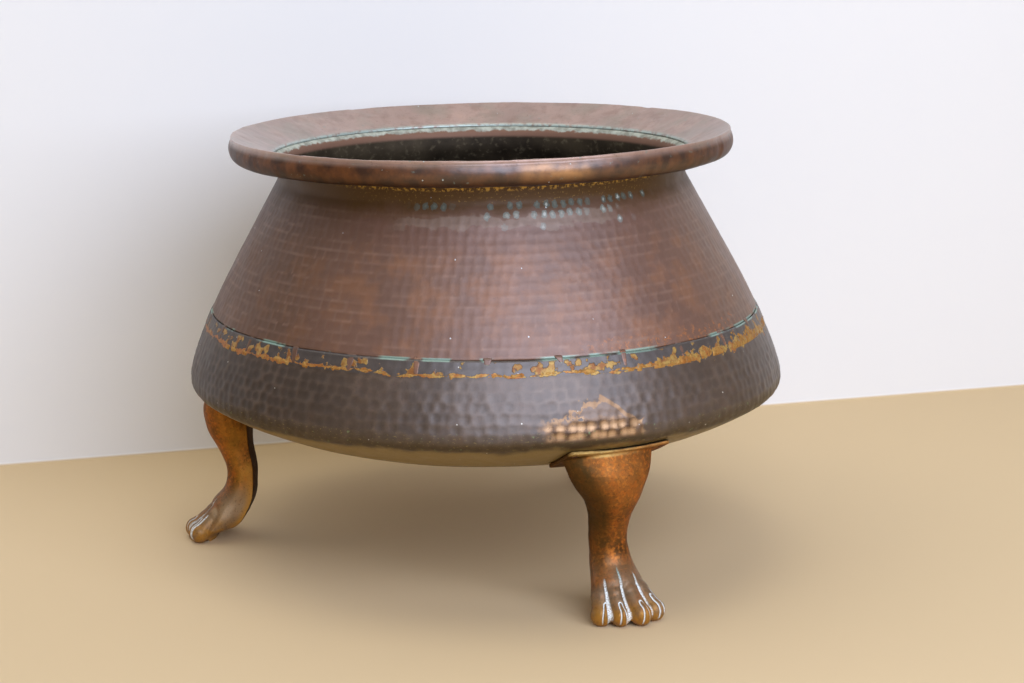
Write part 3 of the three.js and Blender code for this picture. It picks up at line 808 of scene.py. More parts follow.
def dark_copper(colours):
    """Hammered copper that stood over fires: a dark grey-brown skin with a cold sheen, one patch
    over the front leg rubbed to bright copper and painted brighter as a highlight, a painted
    highlight on the rims of the marks, an olive underside painted in part as the warm floor's
    reflection, painted shade at the sides, brass along the lap."""
    skin = SheetSkin("hammered_copper_dark_patina")
    skin.base(shade(colours.bowl, 0.78), shade(colours.bowl, 1.18), 70.0, 0.35, 0.68)
    skin.lay("#6b5040", 0.3, skin.clouds(9.0, 0.5, 0.7, 4.0))
    skin.lay("#39302a", 0.3, skin.attribute("tone"))
    # Painted shade on both sides of the bowl, strongest on the left.
    skin.lay("#2a2016", 0.6, skin.left_side())
    skin.lay("#3c2c1c", 0.3, skin.right_side())
    # Painted highlight on the rims of the hammer marks, so that the dents read as lit relief.
    skin.lay("#85705e", skin.attribute("ridge"),
             skin.scaled(skin.clouds(26.0, 0.3, 0.7), 0.04, 0.30))
    # A darker olive band around the belly's bend, and below it the underside painted pale
    # olive-gold, partly patina and partly a painted reflection of the warm floor.
    under = skin.shifted(skin.level, 6.0, skin.clouds(22.0, 0.3, 0.7))
    low = skin.rise(under, 170.0, 155.0)
    skin.lay("#42341c", 0.75, low)
    skin.lay("#9a824f", 0.9, skin.rise(under, 155.0, 147.0))
    skin.lay("#45403e", 0.6, skin.rise(skin.level, 205.0, 207.0), skin.at_angle(-70.0, 60.0, 10.0))
    patch = rubbed_patch_and_highlight(skin)
    skin.lay("#29211d", 0.35, skin.clouds(1.5, 0.58, 0.74, 2.0))
    brass = brass_smears(skin)
    skin.lay(VERDIGRIS, 0.85, skin.rise(skin.level, SEAM_HEIGHT - 1.6, SEAM_HEIGHT - 0.8),
             skin.clouds(30.0, 0.47, 0.54))
    belly = skin.at_level(148.0, 162.0, 5.0)
    skin.lay("#8d7c48", 0.6, belly, skin.splashes(3.0, 2.0, 0.60, 0.66))
    skin.lay("#76875a", 0.6, belly, skin.clouds(5.0, 0.66, 0.70, 4.0))
    skin.dust("#c4c1b4", 22.0, 0.6, 0.2)
    rough = skin.less(skin.scaled(skin.clouds(18.0, 0.3, 0.7), 0.38, 0.50),
                      skin.times(0.18, patch))
    normal = skin.raised(brass, 0.7, 0.5, Normal=skin.grain(2.6, 0.2, 0.35))
    matt = skin.most(brass, skin.times(0.9, low), skin.times(0.85, patch))
    film = skin.times(skin.scaled(matt, 1.0, 0.12), skin.sheen())
    return skin.metal(rough, 0.30, normal, film, 0.46)


def inside_copper():
    """Unpolished inside of the pot: nearly black tarnish with pale mineral specks, chalky
    grey-green on the lip where rain stands against the collar."""
    skin = Skin("tarnished_copper_inside")
    level = skin.attribute("level")
    skin.base("#241d14", "#4a4030", 40.0, 0.35, 0.70, 5.0)
    skin.lay("#756a54", 0.4, skin.clouds(5.0, 0.56, 0.70))
    edge = skin.shifted(level, 3.0, skin.clouds(9.0, 0.3, 0.7, 4.0))
    skin.lay("#80604e", skin.rise(level, 342.0, 345.5))
    chalk = skin.rise(edge, 350.0, 351.8)
    skin.lay(skin.mixed(skin.clouds(7.0, 0.40, 0.60, 4.0), "#8d8e80", "#b4b8a8"), chalk)
    skin.lay("#c2d0c8", skin.rise(edge, 355.4, 357.0), skin.clouds(6.0, 0.40, 0.60, 4.0))
    cells = skin.add("ShaderNodeTexVoronoi", {"Vector": skin.place, "Scale": per_metre(9.0)})
    normal = skin.raised(cells.outputs["Distance"], 0.5, 0.6)
    return skin.metal(skin.scaled(chalk, 0.6, 0.75), skin.scaled(chalk, 0.2, 0.0), normal)


def rim_copper(colours):
    """Planished copper rim, handled and wiped for years: a smooth pinkish-brown skin, the crest
    worn bright, the hem in a darker orange-brown patina with painted shade on its lower side, a
    painted golden highlight on the hem at the front right, white-green oxide packed where the
    collar meets the lip."""
    skin = SheetSkin("planished_copper_rim_patina")
    hem, under = skin.attribute("hem"), skin.attribute("under")
    above = skin.less(1.0, under)
    skin.base(shade(colours.rim, 0.82), shade(colours.rim, 1.12), 60.0, 0.35, 0.70)
    skin.lay("#745240", 0.45, skin.clouds(12.0, 0.48, 0.68, 4.0))
    skin.lay("#857a68", 0.55, skin.clouds(34.0, 0.50, 0.66, 5.0))
    # The hem darker orange-brown: patina, and painted shade.
    skin.lay(skin.mixed(skin.clouds(14.0, 0.38, 0.62, 4.0), "#371f10", "#693e1d"), 0.95, hem)
    # Painted highlight: golden, on the upper part of the hem at the front right.
    skin.lay("#c08a50", 0.75, skin.at_angle(11.0, 19.0, 6.0), skin.clouds(22.0, 0.34, 0.56, 4.0),
             hem, above)
    # Painted shade under the roll.
    skin.lay("#2e2010", 0.75, under)
    skin.lay("#bd9680", 0.35, skin.attribute("worn"))
    skin.lay("#45301f", 0.4, skin.clouds(2.2, 0.62, 0.74, 2.0))
    skin.lay("#b3c3b9", skin.attribute("green"), skin.clouds(5.0, 0.30, 0.52, 4.0))
    skin.lay("#74857a", 0.5, skin.clouds(5.0, 0.66, 0.72, 4.0))
    skin.dust("#b9c6c2", 18.0, 0.6, 0.14)
    rough = skin.scaled(skin.clouds(20.0, 0.3, 0.7), 0.34, 0.48)
    front = skin.times(skin.at_angle(-6.0, 36.0, 28.0), above)
    film = skin.add("ShaderNodeMix", {
        0: hem, 2: skin.scaled(skin.left_side(), 0.62, 1.0),
        3: skin.scaled(front, 0.0, 0.85)}).outputs[0]
    return skin.metal(rough, 0.30, skin.grain(5.0, 0.25, 0.5), film, 0.34)


def seam_brass(colours):
    """Brazing spelter in the seam: rough brass, browned, with green oxide in its pits."""
    skin = Skin("brazed_brass_seam")
    skin.base("#a0682f", colours.brass, 9.0, 0.35, 0.65, 4.0)
    skin.lay("#5f4526", 0.5, skin.clouds(2.6, 0.52, 0.68, 3.0))
    upper = skin.rise(skin.attribute("level"), SEAM_HEIGHT - 2.0, SEAM_HEIGHT - 1.0)
    skin.lay("#7f9182", 0.5, skin.most(upper, skin.clouds(5.0, 0.60, 0.72, 4.0)))
    return skin.metal(0.55, 0.35, skin.grain(1.8, 0.5, 0.5))


def cast_brass(colours):
    """Sand-cast brass leg with an orange-brown patina: slightly grainy skin, a painted golden light
    on one side and on the paw's dust there, darker olive on the other side and the wing with
    painted shade there, painted shade on the flat back, bare brass on the plate's edge, a painted
    shadow in the gap under the bowl, and pale blue-white oxide packed in the creases of the paw."""
    skin = Skin("sand_cast_brass_patina")
    height = skin.maths("MULTIPLY", skin.split(skin.place)["Z"], 1.0 / MM)
    near_side, paw, back, packed = map(skin.attribute, ("near_side", "paw", "back", "oxide"))
    skin.base("#583718", shade(colours.legs, 1.12), 34.0, 0.34, 0.62, 4.0)
    skin.lay("#b76624", 0.65, skin.clouds(6.0, 0.47, 0.62, 6.0, 0.7))
    skin.lay("#cb7c2e", 0.5, skin.clouds(2.8, 0.52, 0.62, 4.0))
    skin.lay("#5f4820", 0.5, skin.clouds(15.0, 0.50, 0.66, 5.0))
    # Painted light: a golden tint on one side of the leg.
    skin.lay("#b27f2c", 0.6, near_side, skin.clouds(20.0, 0.25, 0.60, 4.0))
    # Painted shade on the leg's other side, with the wing's olive patina.
    skin.lay("#403112", 0.82, skin.attribute("flank"))
    skin.lay("#7d6951", 0.85, paw, skin.clouds(26.0, 0.28, 0.58, 3.0))
    # Painted light: the paw's dust paler on the same side.
    skin.lay("#a58c6a", 0.7, paw, near_side, skin.rise(height, 14.0, 30.0))
    skin.lay("#ac792b", 0.8, skin.rise(height, 25.0, 10.0), skin.clouds(10.0, 0.30, 0.54))
    skin.lay("#c58f3c", 0.8, skin.attribute("heel"))
    # Painted shade on the flat back.
    skin.lay("#33240f", 0.9, back)
    skin.lay("#33230f", 0.45, skin.clouds(1.8, 0.56, 0.72, 3.0))
    skin.lay("#b8985a", skin.attribute("bare"), skin.clouds(12.0, 0.30, 0.55))
    # Painted shadow: near-black on the plate's top edge, in the gap under the bowl.
    skin.lay("#120d07", skin.attribute("gap"))
    speckle = skin.scaled(skin.clouds(1.1, 0.38, 0.60), 0.30, 1.0)
    oxide = skin.times(packed, skin.most(speckle, skin.attribute("claw")))
    chalk = skin.mixed(skin.rise(height, 44.0, 28.0), "#7c9a8c", "#eef7f4")
    skin.lay(skin.mixed(skin.rise(packed, 0.20, 0.65), "#46564c", chalk), oxide)
    rough = skin.scaled(skin.clouds(11.0, 0.3, 0.7), 0.34, 0.50)
    for rougher in (skin.most(skin.times(0.4, oxide), skin.times(0.3, back)),
                    skin.times(0.14, skin.rise(height, 96.0, 122.0))):
        rough = skin.maths("ADD", rough, rougher, clamp=True)
    metallic = skin.maths("SUBTRACT", 0.6, skin.most(oxide, skin.times(0.3, paw)), clamp=True)
    return skin.metal(rough, metallic, skin.grain(2.2, 0.35, 0.55, 5.0))


def scaled_iron():
    """Drawn iron wire, never cleaned: dark grey scale with rust."""
    skin = Skin("scaled_iron_wire")
    rust = (6.0, 0.45, 0.65, 4.0)
    skin.base("#3a3634", "#5f3e2b", *rust)
    return skin.metal(0.7, 0.5, skin.raised(skin.clouds(*rust), 0.2, 0.2))


def rivet_copper():
    """Hammered copper rivet: dark brown with a rubbed crown."""
    skin = Skin("hammered_copper_rivet")
    rubbed = (4.0, 0.4, 0.65, 3.0)
    skin.base("#4a3227", "#7a5543", *rubbed)
    return skin.metal(0.42, 0.65, skin.raised(skin.clouds(*rubbed), 0.2, 0.3))


def matt_floor(colours):
    """Painted studio boards: warm and pale underfoot, white behind. The white wall is clear when
    seen from its own back, so the pot shows from every side."""
    skin = Skin("matt_painted_boards")
    wall = skin.rise(skin.split(skin.place)["Z"], 0.001, 0.004)
    colour = skin.mixed(wall, colours.floor, "#f3f3f0")
    shader = skin.add("ShaderNodeBsdfPrincipled", {"Base Color": colour, "Roughness": 0.85})
    behind = skin.times(wall, skin.add("ShaderNodeNewGeometry").outputs["Backfacing"])
    clear = skin.add("ShaderNodeBsdfTransparent").outputs[0]
    both = skin.add("ShaderNodeMixShader", {0: behind, 1: shader.outputs[0], 2: clear})
    skin.add("ShaderNodeOutputMaterial", {"Surface": both.outputs[0]})
    return skin.material


# Pieces

def wall_outline():
    """Closed section of the wall: fine on the outside, coarse on the inside.
    Returns the points and how many of them are the outside and the inside up to the lap."""
    cone = even_path(cone_part(SEAM_HEIGHT + 1.0, CONE_TOP_HEIGHT - 0.2), 2.0)
    whole = np.vstack([cone, even_path(NECK[:-1], 2.0), LIP_END[None]])
    lap = SHEET + LAP_SPACE
    moved = offset_path(whole, SHEET)
    inside = np.vstack([moved[len(cone) - 2:][::-1][::2], moved[:len(cone) - 4][::-1][::8]])
    inner_lap = cone_part(SEAM_HEIGHT - SEAM_MARGIN, SEAM_HEIGHT, lap + SHEET)[::-1]
    outer_lap = cone_part(SEAM_HEIGHT - SEAM_MARGIN, SEAM_HEIGHT + FIT_GAP, lap)
    step = cone_part(SEAM_HEIGHT + 0.4, SEAM_HEIGHT + 1.0, 0.8)[:1]
    path = np.vstack([whole, inside, even_path(inner_lap, 4.0), even_path(outer_lap, 4.0), step])
    return path, len(whole), len(inside) + 4


def add_tabs(mesh):
    """Cramp tabs: tongues of the wall that lap over the bowl's margin."""
    bm = bmesh.new()
    bm.from_mesh(mesh)
    tone, level = (bm.verts.layers.float[name] for name in ("tone", "level"))
    rng = np.random.default_rng(27)
    for i in range(TAB_COUNT):
        middle = math.radians(FIRST_TAB + 360.0 * i / TAB_COUNT)
        width = TAB_WIDTH * rng.uniform(0.8, 1.15)
        share = WORN_TAB_SHARE if i in WORN_TABS else rng.uniform(0.8, 1.08)
        foot = SEAM_HEIGHT - TAB_LENGTH * share
        slant, narrow = rng.uniform(-2.2, 2.2), rng.uniform(0.25, 0.55)
        head = SEAM_HEIGHT + TAB_ROOT
        tab = bmesh.ops.create_grid(bm, x_segments=6, y_segments=8, size=0.5)["verts"]
        for vert in tab:
            across, up = vert.co.x * 2, vert.co.y + 0.5
            height = foot + (head - foot) * up + TAB_ROUND * across ** 2 * (1 - up)
            radius = np.interp(height, CONE[:, 1], CONE[:, 0])
            edge = max(abs(across), 1 - up * 6) ** 6
            proud = TAB_PROUD - 0.40 * min(edge, 1.0) - 1.1 * max(0.0, up - 0.75) / 0.25
            taper = 1.0 - narrow * (1 - up) ** 1.5
            angle = middle + (across * width / 2 * taper + slant * (1 - up)) / radius
            out = radius + proud
            vert.co = (out * math.cos(angle), out * math.sin(angle), height)
            vert[tone] = 0.6
            vert[level] = SEAM_HEIGHT + 6.0 * min(1.0, (height - foot) / 3.0)
        thicken(bm, tab, Vector((math.cos(middle), math.sin(middle), 0.0)), TAB_THICKNESS)
    put_in_order(bm)
    bm.to_mesh(mesh)
    bm.free()


def paint_inside(mesh, first, last):
    """Gives the second material to the faces between two rings of the path."""
    rings = read_ring(mesh)
    for face in mesh.polygons:
        low = min(rings[v] for v in face.vertices)
        face.material_index = 1 if first <= low < last else 0


class CAULDRON_OT_side_wall(Operator):
    """Hammered cone with neck, lip and the cramp tabs of the belly seam"""
    bl_idname = "cauldron.side_wall"
    bl_label = "Side wall"

    def execute(self, context):
        sizes, colours = context.scene.cauldron_sizes, context.scene.cauldron_colours
        path, outer, inner = wall_outline()
        sheet = Sheet("side_wall_hammered", path, outer, sizes.around)
        outside = (sheet.rings < outer - 1).astype(float)
        _, ridge, own, hollow = sheet.marks(
            sheet.length * outside, sizes.wall_row / MM, sizes.wall_mark / MM, WALL_SEED)
        depth = sizes.wall_depth / MM * (0.65 + 0.7 * own[:, 0])
        neck, throat, lip = (sheet.lengths[outer - back] for back in (18, 12, 2))
        fade = 1.0 - ease(sheet.length, neck, throat)
        broad = np.abs(sheet.waves(WALL_WAVES)) * (1.0 - ease(sheet.length, throat, lip))
        sheet.press(-(hollow * depth * fade + broad) * outside)
        sheet.points[:, 2] = np.minimum(sheet.points[:, 2], path[:, 1].max())
        write_value(sheet.mesh, "ridge", ridge * outside * fade)
        write_value(sheet.mesh, "tone", own[:, 1] * outside * fade)
        sheet.mesh.vertices.foreach_set("co", sheet.points.ravel())
        add_tabs(sheet.mesh)
        sheet.points = read_points(sheet.mesh)
        sheet.finish([patina_copper(colours), inside_copper()], ["side_wall"])
        paint_inside(sheet.mesh, outer - 2, outer + inner)
        return {"FINISHED"}


def bowl_outline():
    """Closed section of the bowl, from the axis on the outside back to the axis on the inside.
    Returns the points and how many of them are the outside and the underside."""
    knuckle = bend(BEND_START, UNDER_SLOPE, 90, BELLY_BEND, 10)
    margin = cone_part(BELLY_HEIGHT + 0.5, SEAM_HEIGHT)
    flat = np.array([[0.0, FLAT_HEIGHT], [FLAT_RADIUS * 0.5, FLAT_HEIGHT]])
    under = even_path(DISH, 2.2)
    under = np.vstack([under[:-8][::5], under[-8:-1]])
    side = even_path(np.vstack([BEND_START[None], knuckle, margin]), 1.55)
    whole = np.vstack([flat, under, side])
    inside = offset_path(np.vstack([flat, under[::2], side[:-3:6], side[-1:]]), SHEET)[::-1]
    inside[-1, 0] = 0.0
    return np.vstack([whole, inside]), len(whole), len(flat) + len(under)


class CAULDRON_OT_bowl(Operator):
    """Dark dished bowl with larger hammer marks, its margin lapped over the wall"""
    bl_idname = "cauldron.bowl"
    bl_label = "Bowl"

    def execute(self, context):
        sizes, colours = context.scene.cauldron_sizes, context.scene.cauldron_colours
        path, outer, under_end = bowl_outline()
        sheet = Sheet("bowl_hammered", path, outer, sizes.around, closed=False)
        heights, outside = sheet.heights, sheet.rings < outer
        mark = sizes.bowl_mark / MM
        first = sheet.lengths[under_end] - 2 * mark
        square, _, own, hollow = sheet.marks(
            np.where(outside, np.maximum(sheet.length - first, 0.0), 0.0),
            mark * 0.96, mark, BOWL_SEED, 0.30, first)
        rubbed = (near_angle(sheet.angle, *PATCH_ANGLES) * ease(heights, 152.0, 158.0)
                  * (1 - ease(heights, 172.0, 180.0)))
        depth = sizes.bowl_depth / MM * (0.55 + 0.9 * own[:, 0])
        depth *= (1 - 0.5 * ease(heights, 184.0, 198.0)) * (1 + 0.6 * rubbed)
        fade = ease(sheet.length, first + 6.0, first + 24.0) * outside
        lapped = MARGIN_PROUD * ease(heights, LOW_LINE - 3.0, LOW_LINE)
        broad = np.abs(sheet.waves(BOWL_WAVES))
        sheet.press(-(hollow * depth * fade + broad * outside) + lapped * outside)
        edge = drift(sheet.angle, sheet.length * 0, 30.0, 240.0, 17) * 0.5
        sheet.points[:, 2] += edge * ease(heights, SEAM_HEIGHT - 4.0, SEAM_HEIGHT)
        sheet.points[:, 2] = np.maximum(sheet.points[:, 2], FLAT_HEIGHT)
        write_value(sheet.mesh, "ridge", np.clip((square - 0.30) / 0.8, 0, 1) * fade)
        write_value(sheet.mesh, "cup", np.clip(1 - square * 1.5, 0, 1) * fade)
        write_value(sheet.mesh, "tone", own[:, 1] * fade)
        sheet.finish([dark_copper(colours), inside_copper()], ["bowl"])
        paint_inside(sheet.mesh, outer, len(path))
        return {"FINISHED"}


def flange():
    """Start and end of the collar's slope, and the middle of its hem."""
    start = on_lip(COLLAR_SETBACK, 2 * SHEET + FIT_GAP)
    run = (RIM_RADIUS - CREST_WIDTH - start[0]) / heading(COLLAR_SLOPE)[0]
    end = start + heading(COLLAR_SLOPE) * run
    return start, end, np.array([RIM_RADIUS - HEM_HALF_WIDTH, end[1] - HEM_DROP])


def collar_outline():
    """Closed section of the collar. Its inner edge is worn down to a slope toward the lip.
    Returns the points and how many of them are the upper side and the flange."""
    start, end, middle = flange()
    worn = on_lip(COLLAR_SETBACK, SHEET) + np.array([[-0.3, 0.04], [0.4, 0.8], [1.2, 1.6]]) @ (
        np.array([heading(COLLAR_SLOPE), heading(COLLAR_SLOPE + 90)]))
    hem = np.array([middle + np.array([HEM_HALF_WIDTH, HEM_HALF_HEIGHT]) * heading(angle)
                    for angle in np.linspace(CREST_ANGLE, HEM_END_ANGLE, 40)])
    control = end + heading(COLLAR_SLOPE) * CREST_REACH
    t = np.linspace(0.0, 1.0, 9)[:, None]
    crest = (1 - t) ** 2 * end + 2 * (1 - t) * t * control + t * t * hem[0]
    top = even_path(np.array([start + heading(COLLAR_SLOPE) * 2.4, end]), 2.4)[:-1]
    upper = np.vstack([worn, top, crest, even_path(hem[1:], 1.7)])
    under = offset_path(np.vstack([top, crest, hem[1:]]), -SHEET)[::-1][::3]
    return np.vstack([upper, under]), len(upper), len(worn) + len(top)


class CAULDRON_OT_rim_collar(Operator):
    """Broad sloping rim with its turned-down hem"""
    bl_idname = "cauldron.rim_collar"
    bl_label = "Rim collar"

    def execute(self, context):
        sizes, colours = context.scene.cauldron_sizes, context.scene.cauldron_colours
        path, outer, hem_first = collar_outline()
        sheet = Sheet("rim_collar_planished", path, outer, int(sizes.around * 0.8))
        length, outside = sheet.length, sheet.rings < outer
        _, _, own, hollow = sheet.marks(
            np.where(outside, length, 0.0), 9.5, 10.5, RIM_SEED, 0.4)
        dents = ease(drift(sheet.angle, length, 15.0, 215.0, 57), 0.4, 0.9) * 0.5
        broad = np.abs(drift(sheet.angle, length, 55.0, 215.0, 55)) * 0.55
        push = (hollow * 0.10 * (0.5 + own[:, 0]) + dents + broad) * ease(length, 2.0, 8.0)
        sheet.press(push * outside)
        crest = sheet.lengths[hem_first + 5]
        worn = np.exp(-((length - crest) / 1.5) ** 2) * outside
        for name, values in (("worn", worn), ("hem", ease(length, crest, crest + 7.0)),
                             ("under", ease(length, crest + 9.0, crest + 24.0)),
                             ("green", (1 - ease(length, 1.2, 4.4)) * outside)):
            write_value(sheet.mesh, name, values)
        sheet.points[:, 2] = np.minimum(sheet.points[:, 2], path[:, 1].max() - 0.05)
        sheet.finish([rim_copper(colours)], ["rim_collar"])
        return {"FINISHED"}


def belly_seam(brass):
    """Spelter of the belly seam, as one skin over the lap that stands proud where it ran out."""
    outer = even_path(cone_part(SEAM_HEIGHT - 16.0, SEAM_HEIGHT + 0.3), 0.9)
    inner = even_path(cone_part(SEAM_HEIGHT - 15.5, SEAM_HEIGHT - 0.2, 1.3), 5.0)[::-1]
    sheet = Sheet("belly_seam_brass", np.vstack([outer, inner]), len(outer), 1800)
    angle, heights = sheet.angle, sheet.heights
    line = LOW_LINE + drift(angle, heights * 0, 45.0, 240.0, 71) * 1.5
    right, left = near_angle(angle, 58.0, 16.0, 14.0), near_angle(angle, -62.0, 14.0, 14.0)
    spread = 1.7 + 4.5 * right + 0.6 * left
    grain = sum(drift(angle, heights, cell, 240.0, seed) * share
                for cell, seed, share in SPELTER_GRAIN)
    amount = 0.33 - np.abs(heights - line) / spread * 0.5 + 0.20 * right + 0.02 * left
    amount += grain - 0.45
    amount -= (1 - ease(heights, SEAM_HEIGHT - 15.8, SEAM_HEIGHT - 14.0)) * 2
    amount -= ease(heights, SEAM_HEIGHT - 2.5, SEAM_HEIGHT - 1.0) * 2
    proud = 0.25 + np.clip(amount, -0.4, 0.35) * 1.6
    sheet.press(np.where(sheet.rings < len(outer), proud, 0.0))
    sheet.finish([brass], ["belly_seam_braze"])


def rim_seam(brass):
    """Lumpy fillet between the lip's edge and the collar."""
    first = LIP_WIDTH + FIT_GAP
    path = np.array([on_lip(first + along, above) for along, above in FILLET])
    sheet = Sheet("rim_seam_brass", path, len(path), 480)
    lump = drift(sheet.angle, sheet.heights * 3, 4.0, 190.0, 77) * 0.12
    sheet.press(np.where(sheet.rings < 4, lump, 0.0), (0.5, -0.5))
    sheet.finish([brass], ["rim_seam_braze"])


class CAULDRON_OT_seams(Operator):
    """Brass of the two seams: thick beads of the belly seam on the lap, and the rim's fillet"""
    bl_idname = "cauldron.seams"
    bl_label = "Brass seams"

    def execute(self, context):
        brass = seam_brass(context.scene.cauldron_colours)
        belly_seam(brass)
        rim_seam(brass)
        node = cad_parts["rim_wire"]
        node.data.materials.clear()
        node.data.materials.append(scaled_iron())
        return {"FINISHED"}


# Legs, in millimetres: x outward from the pot's axis, y to the side, z up

FRONT_LINE = (
    (-3, 248), (2, 252), (8, 254), (14, 253), (22, 250.5), (30, 249.5), (34, 248.5),
    (38.7, 244.6), (43.6, 239.6), (48.3, 236.6), (53, 234.9), (57.7, 234.2), (62.4, 234.4),
    (67.1, 235.3), (71.7, 236.9), (76.4, 239), (81, 241.3), (85.6, 244), (90.2, 246.7),
    (94.9, 249.3), (99.5, 251.4), (104.1, 252.7), (108.7, 253.9), (113.3, 254.7), (118, 255.2),
    (122.6, 254.9), (128, 252.8), (134, 249.3), (140, 246.4), (152, 245))
BACK_LINE = (
    (-3, 245), (2, 244.5), (5, 243), (7.5, 239), (9.2, 233.2), (11.3, 227.4), (16.2, 221),
    (21, 217.7), (25.8, 215.3), (30.6, 212.9), (35.3, 211), (40.1, 209.7), (45, 209),
    (59, 208.6), (64, 208.7), (73, 210.1), (82.5, 212.3), (87, 212.8), (105, 213.3),
    (125, 213.5), (152, 213.5))
HALF_WIDTH = (
    (-3, 16), (2, 21), (7, 26), (12, 28.2), (20, 26), (28, 22.6), (36, 19.7), (43.5, 18),
    (50, 16.9), (60, 16.2), (70, 16.4), (84, 18.3), (92, 21), (100, 24.6), (110, 30.4),
    (118, 34.5), (126, 37.4), (133, 39.6), (140, 42), (152, 44))
SWAY = (
    (-3, 4.8), (12, 5), (28, 4.6), (50, 4.4), (60, 3.7), (84, 1.5), (100, 0.8), (110, -1.5),
    (118, -2.4), (130, -3), (152, -3))
BACK_SHARE = (
    (-3, 0.3), (6, 0.4), (15, 0.5), (40, 0.66), (61, 0.74), (90, 0.62), (118, 0.5), (152, 0.46))
FLANK_SHARE = ((-3, 0.62), (13, 0.66), (40, 0.5), (61, 0.42), (152, 0.42))
# Knuckle and tip of each toe, with the tip's radius
TOES = (
    ((241.0, -13.4, 20.5), (249.6, -17.6, 8.8), 9.3),
    ((245.0, -4.0, 22.0), (257.6, -4.6, 8.6), 8.9),
    ((246.0, 8.6, 22.5), (262.5, 11.0, 9.0), 9.4),
    ((243.0, 18.8, 22.0), (256.6, 26.2, 8.8), 9.4),
)
# Top and bottom of each groove between the toes, and of the one on the outer toe
GROOVES = (
    ((239.5, -10.8, 38.0), (257.0, -14.4, 0.0)),
    ((236.5, 1.0, 51.0), (267.0, -0.4, 0.0)),
    ((240.5, 13.6, 48.0), (263.0, 18.6, 0.0)),
    ((247.5, 25.0, 33.0), (260.5, 31.5, 6.0)),
)
# Half the width, the top and the sideways shift of each claw
CLAWS = ((2.5, 19.5, 3.0), (2.6, 20.0, -0.8), (3.0, 20.5, 0.0), (2.3, 22.0, -1.2))


def leg_ring(height):
    """Level section of the leg: flat at the back and round in front."""
    back, front, half, share, flank_share, sway = (
        np.interp(height, *np.array(line, float).T)
        for line in (BACK_LINE, FRONT_LINE, HALF_WIDTH, BACK_SHARE, FLANK_SHARE, SWAY))
    flank = back + (front - back) * flank_share
    ring = [(flank + (front - flank) * math.cos(t), half * math.sin(t))
            for t in np.radians(np.linspace(-90.0, 90.0, ROUND_POINTS))]
    side_in = [(flank + (back - flank) * s, half * (1 - (1 - share) * s ** 1.4))
               for s in (0.35, 0.7, 1.0)]
    across = [(back, half * share * s) for s in (0.34, -0.34)]
    ring += side_in + across + [(x, -y) for x, y in reversed(side_in)]
    return [(x, y + sway, height) for x, y in ring]


def loft(bm, sections):
    """Skin over sections: a circle is drawn once, then extruded from section to section."""
    ring = bmesh.ops.create_circle(bm, segments=len(sections[0]), radius=1.0)["verts"]
    current = sorted(ring, key=lambda v: math.atan2(v.co.y, v.co.x))
    for vert, place in zip(current, sections[0]):
        vert.co = place
    bottom = edges = list(dict.fromkeys(e for v in current for e in v.link_edges))
    for section in sections[1:]:
        order = {vert: i for i, vert in enumerate(current)}
        made = bmesh.ops.extrude_edge_only(bm, edges=edges)["geom"]
        new_verts = {g for g in made if isinstance(g, bmesh.types.BMVert)}
        following = [None] * len(section)
        for vert in new_verts:
            old = next(e.other_vert(vert) for e in vert.link_edges if e.other_vert(vert) in order)
            following[order[old]] = vert
        for vert, place in zip(following, section):
            vert.co = place
        edges = [g for g in made
                 if isinstance(g, bmesh.types.BMEdge) and new_verts.issuperset(g.verts)]
        current = following
    bmesh.ops.holes_fill(bm, edges=bottom, sides=0)
    bmesh.ops.holes_fill(bm, edges=edges, sides=0)


def ball(bm, centre, radius):
    made = bmesh.ops.create_uvsphere(
        bm, u_segments=20, v_segments=14, radius=radius, matrix=Matrix.Translation(centre))
    return made["verts"]


def finger(bm, first, second, first_radius, second_radius):
    """Closed form over two balls."""
    verts = ball(bm, first, first_radius) + ball(bm, second, second_radius)
    hull = bmesh.ops.convex_hull(bm, input=verts)
    spare = {g for key in ("geom_interior", "geom_unused") for g in hull[key]}
    spare = [g for g in spare if isinstance(g, bmesh.types.BMVert)]
    bmesh.ops.delete(bm, geom=spare, context="VERTS")


def leg_form():
    """Casting as overlapping closed forms: shank, toes and plate."""
    bm = bmesh.new()
    heights = np.concatenate([np.arange(-3.0, 64.0, 2.5), np.arange(64.0, 152.5, 3.5)])
    loft(bm, [leg_ring(h) for h in heights])
    for vert in bm.verts:
        ceiling = float(seat_height(math.hypot(vert.co.x, vert.co.y))) - FIT_GAP - 1.2
        vert.co.z = min(vert.co.z, ceiling)
    for knuckle, tip, radius in TOES:
        knuckle, tip = Vector(knuckle), Vector(tip)
        ball(bm, knuckle, radius - 0.2)
        ball(bm, tip, radius)
        finger(bm, knuckle, tip, radius - 0.9, radius - 0.9)
        root = knuckle - Vector((6.0, knuckle.y * 0.25, -9.0))
        finger(bm, root, knuckle, radius - 3.0, radius - 0.3)
    plate = bmesh.ops.create_grid(bm, x_segments=24, y_segments=44, size=0.5)["verts"]
    for vert in plate:
        share, across = vert.co.x + 0.5, vert.co.y * 2
        out = PLATE_BACK + (PLATE_FRONT - PLATE_BACK) * share
        half = (PLATE_BACK_WIDTH + (PLATE_FRONT_WIDTH - PLATE_BACK_WIDTH) * share) / 2
        corner = max(0.0, abs(across) - 0.9) / 0.1
        out -= corner ** 2 * 5.0 * (2 * share - 1)
        aside = across * half
        vert.co = (out, aside, float(seat_height(math.hypot(out, aside))) - FIT_GAP - 0.25)
    thicken(bm, plate, Vector((0.0, 0.0, 1.0)), PLATE_THICKNESS - 0.4)
    bmesh.ops.recalc_face_normals(bm, faces=bm.faces)
    return bm


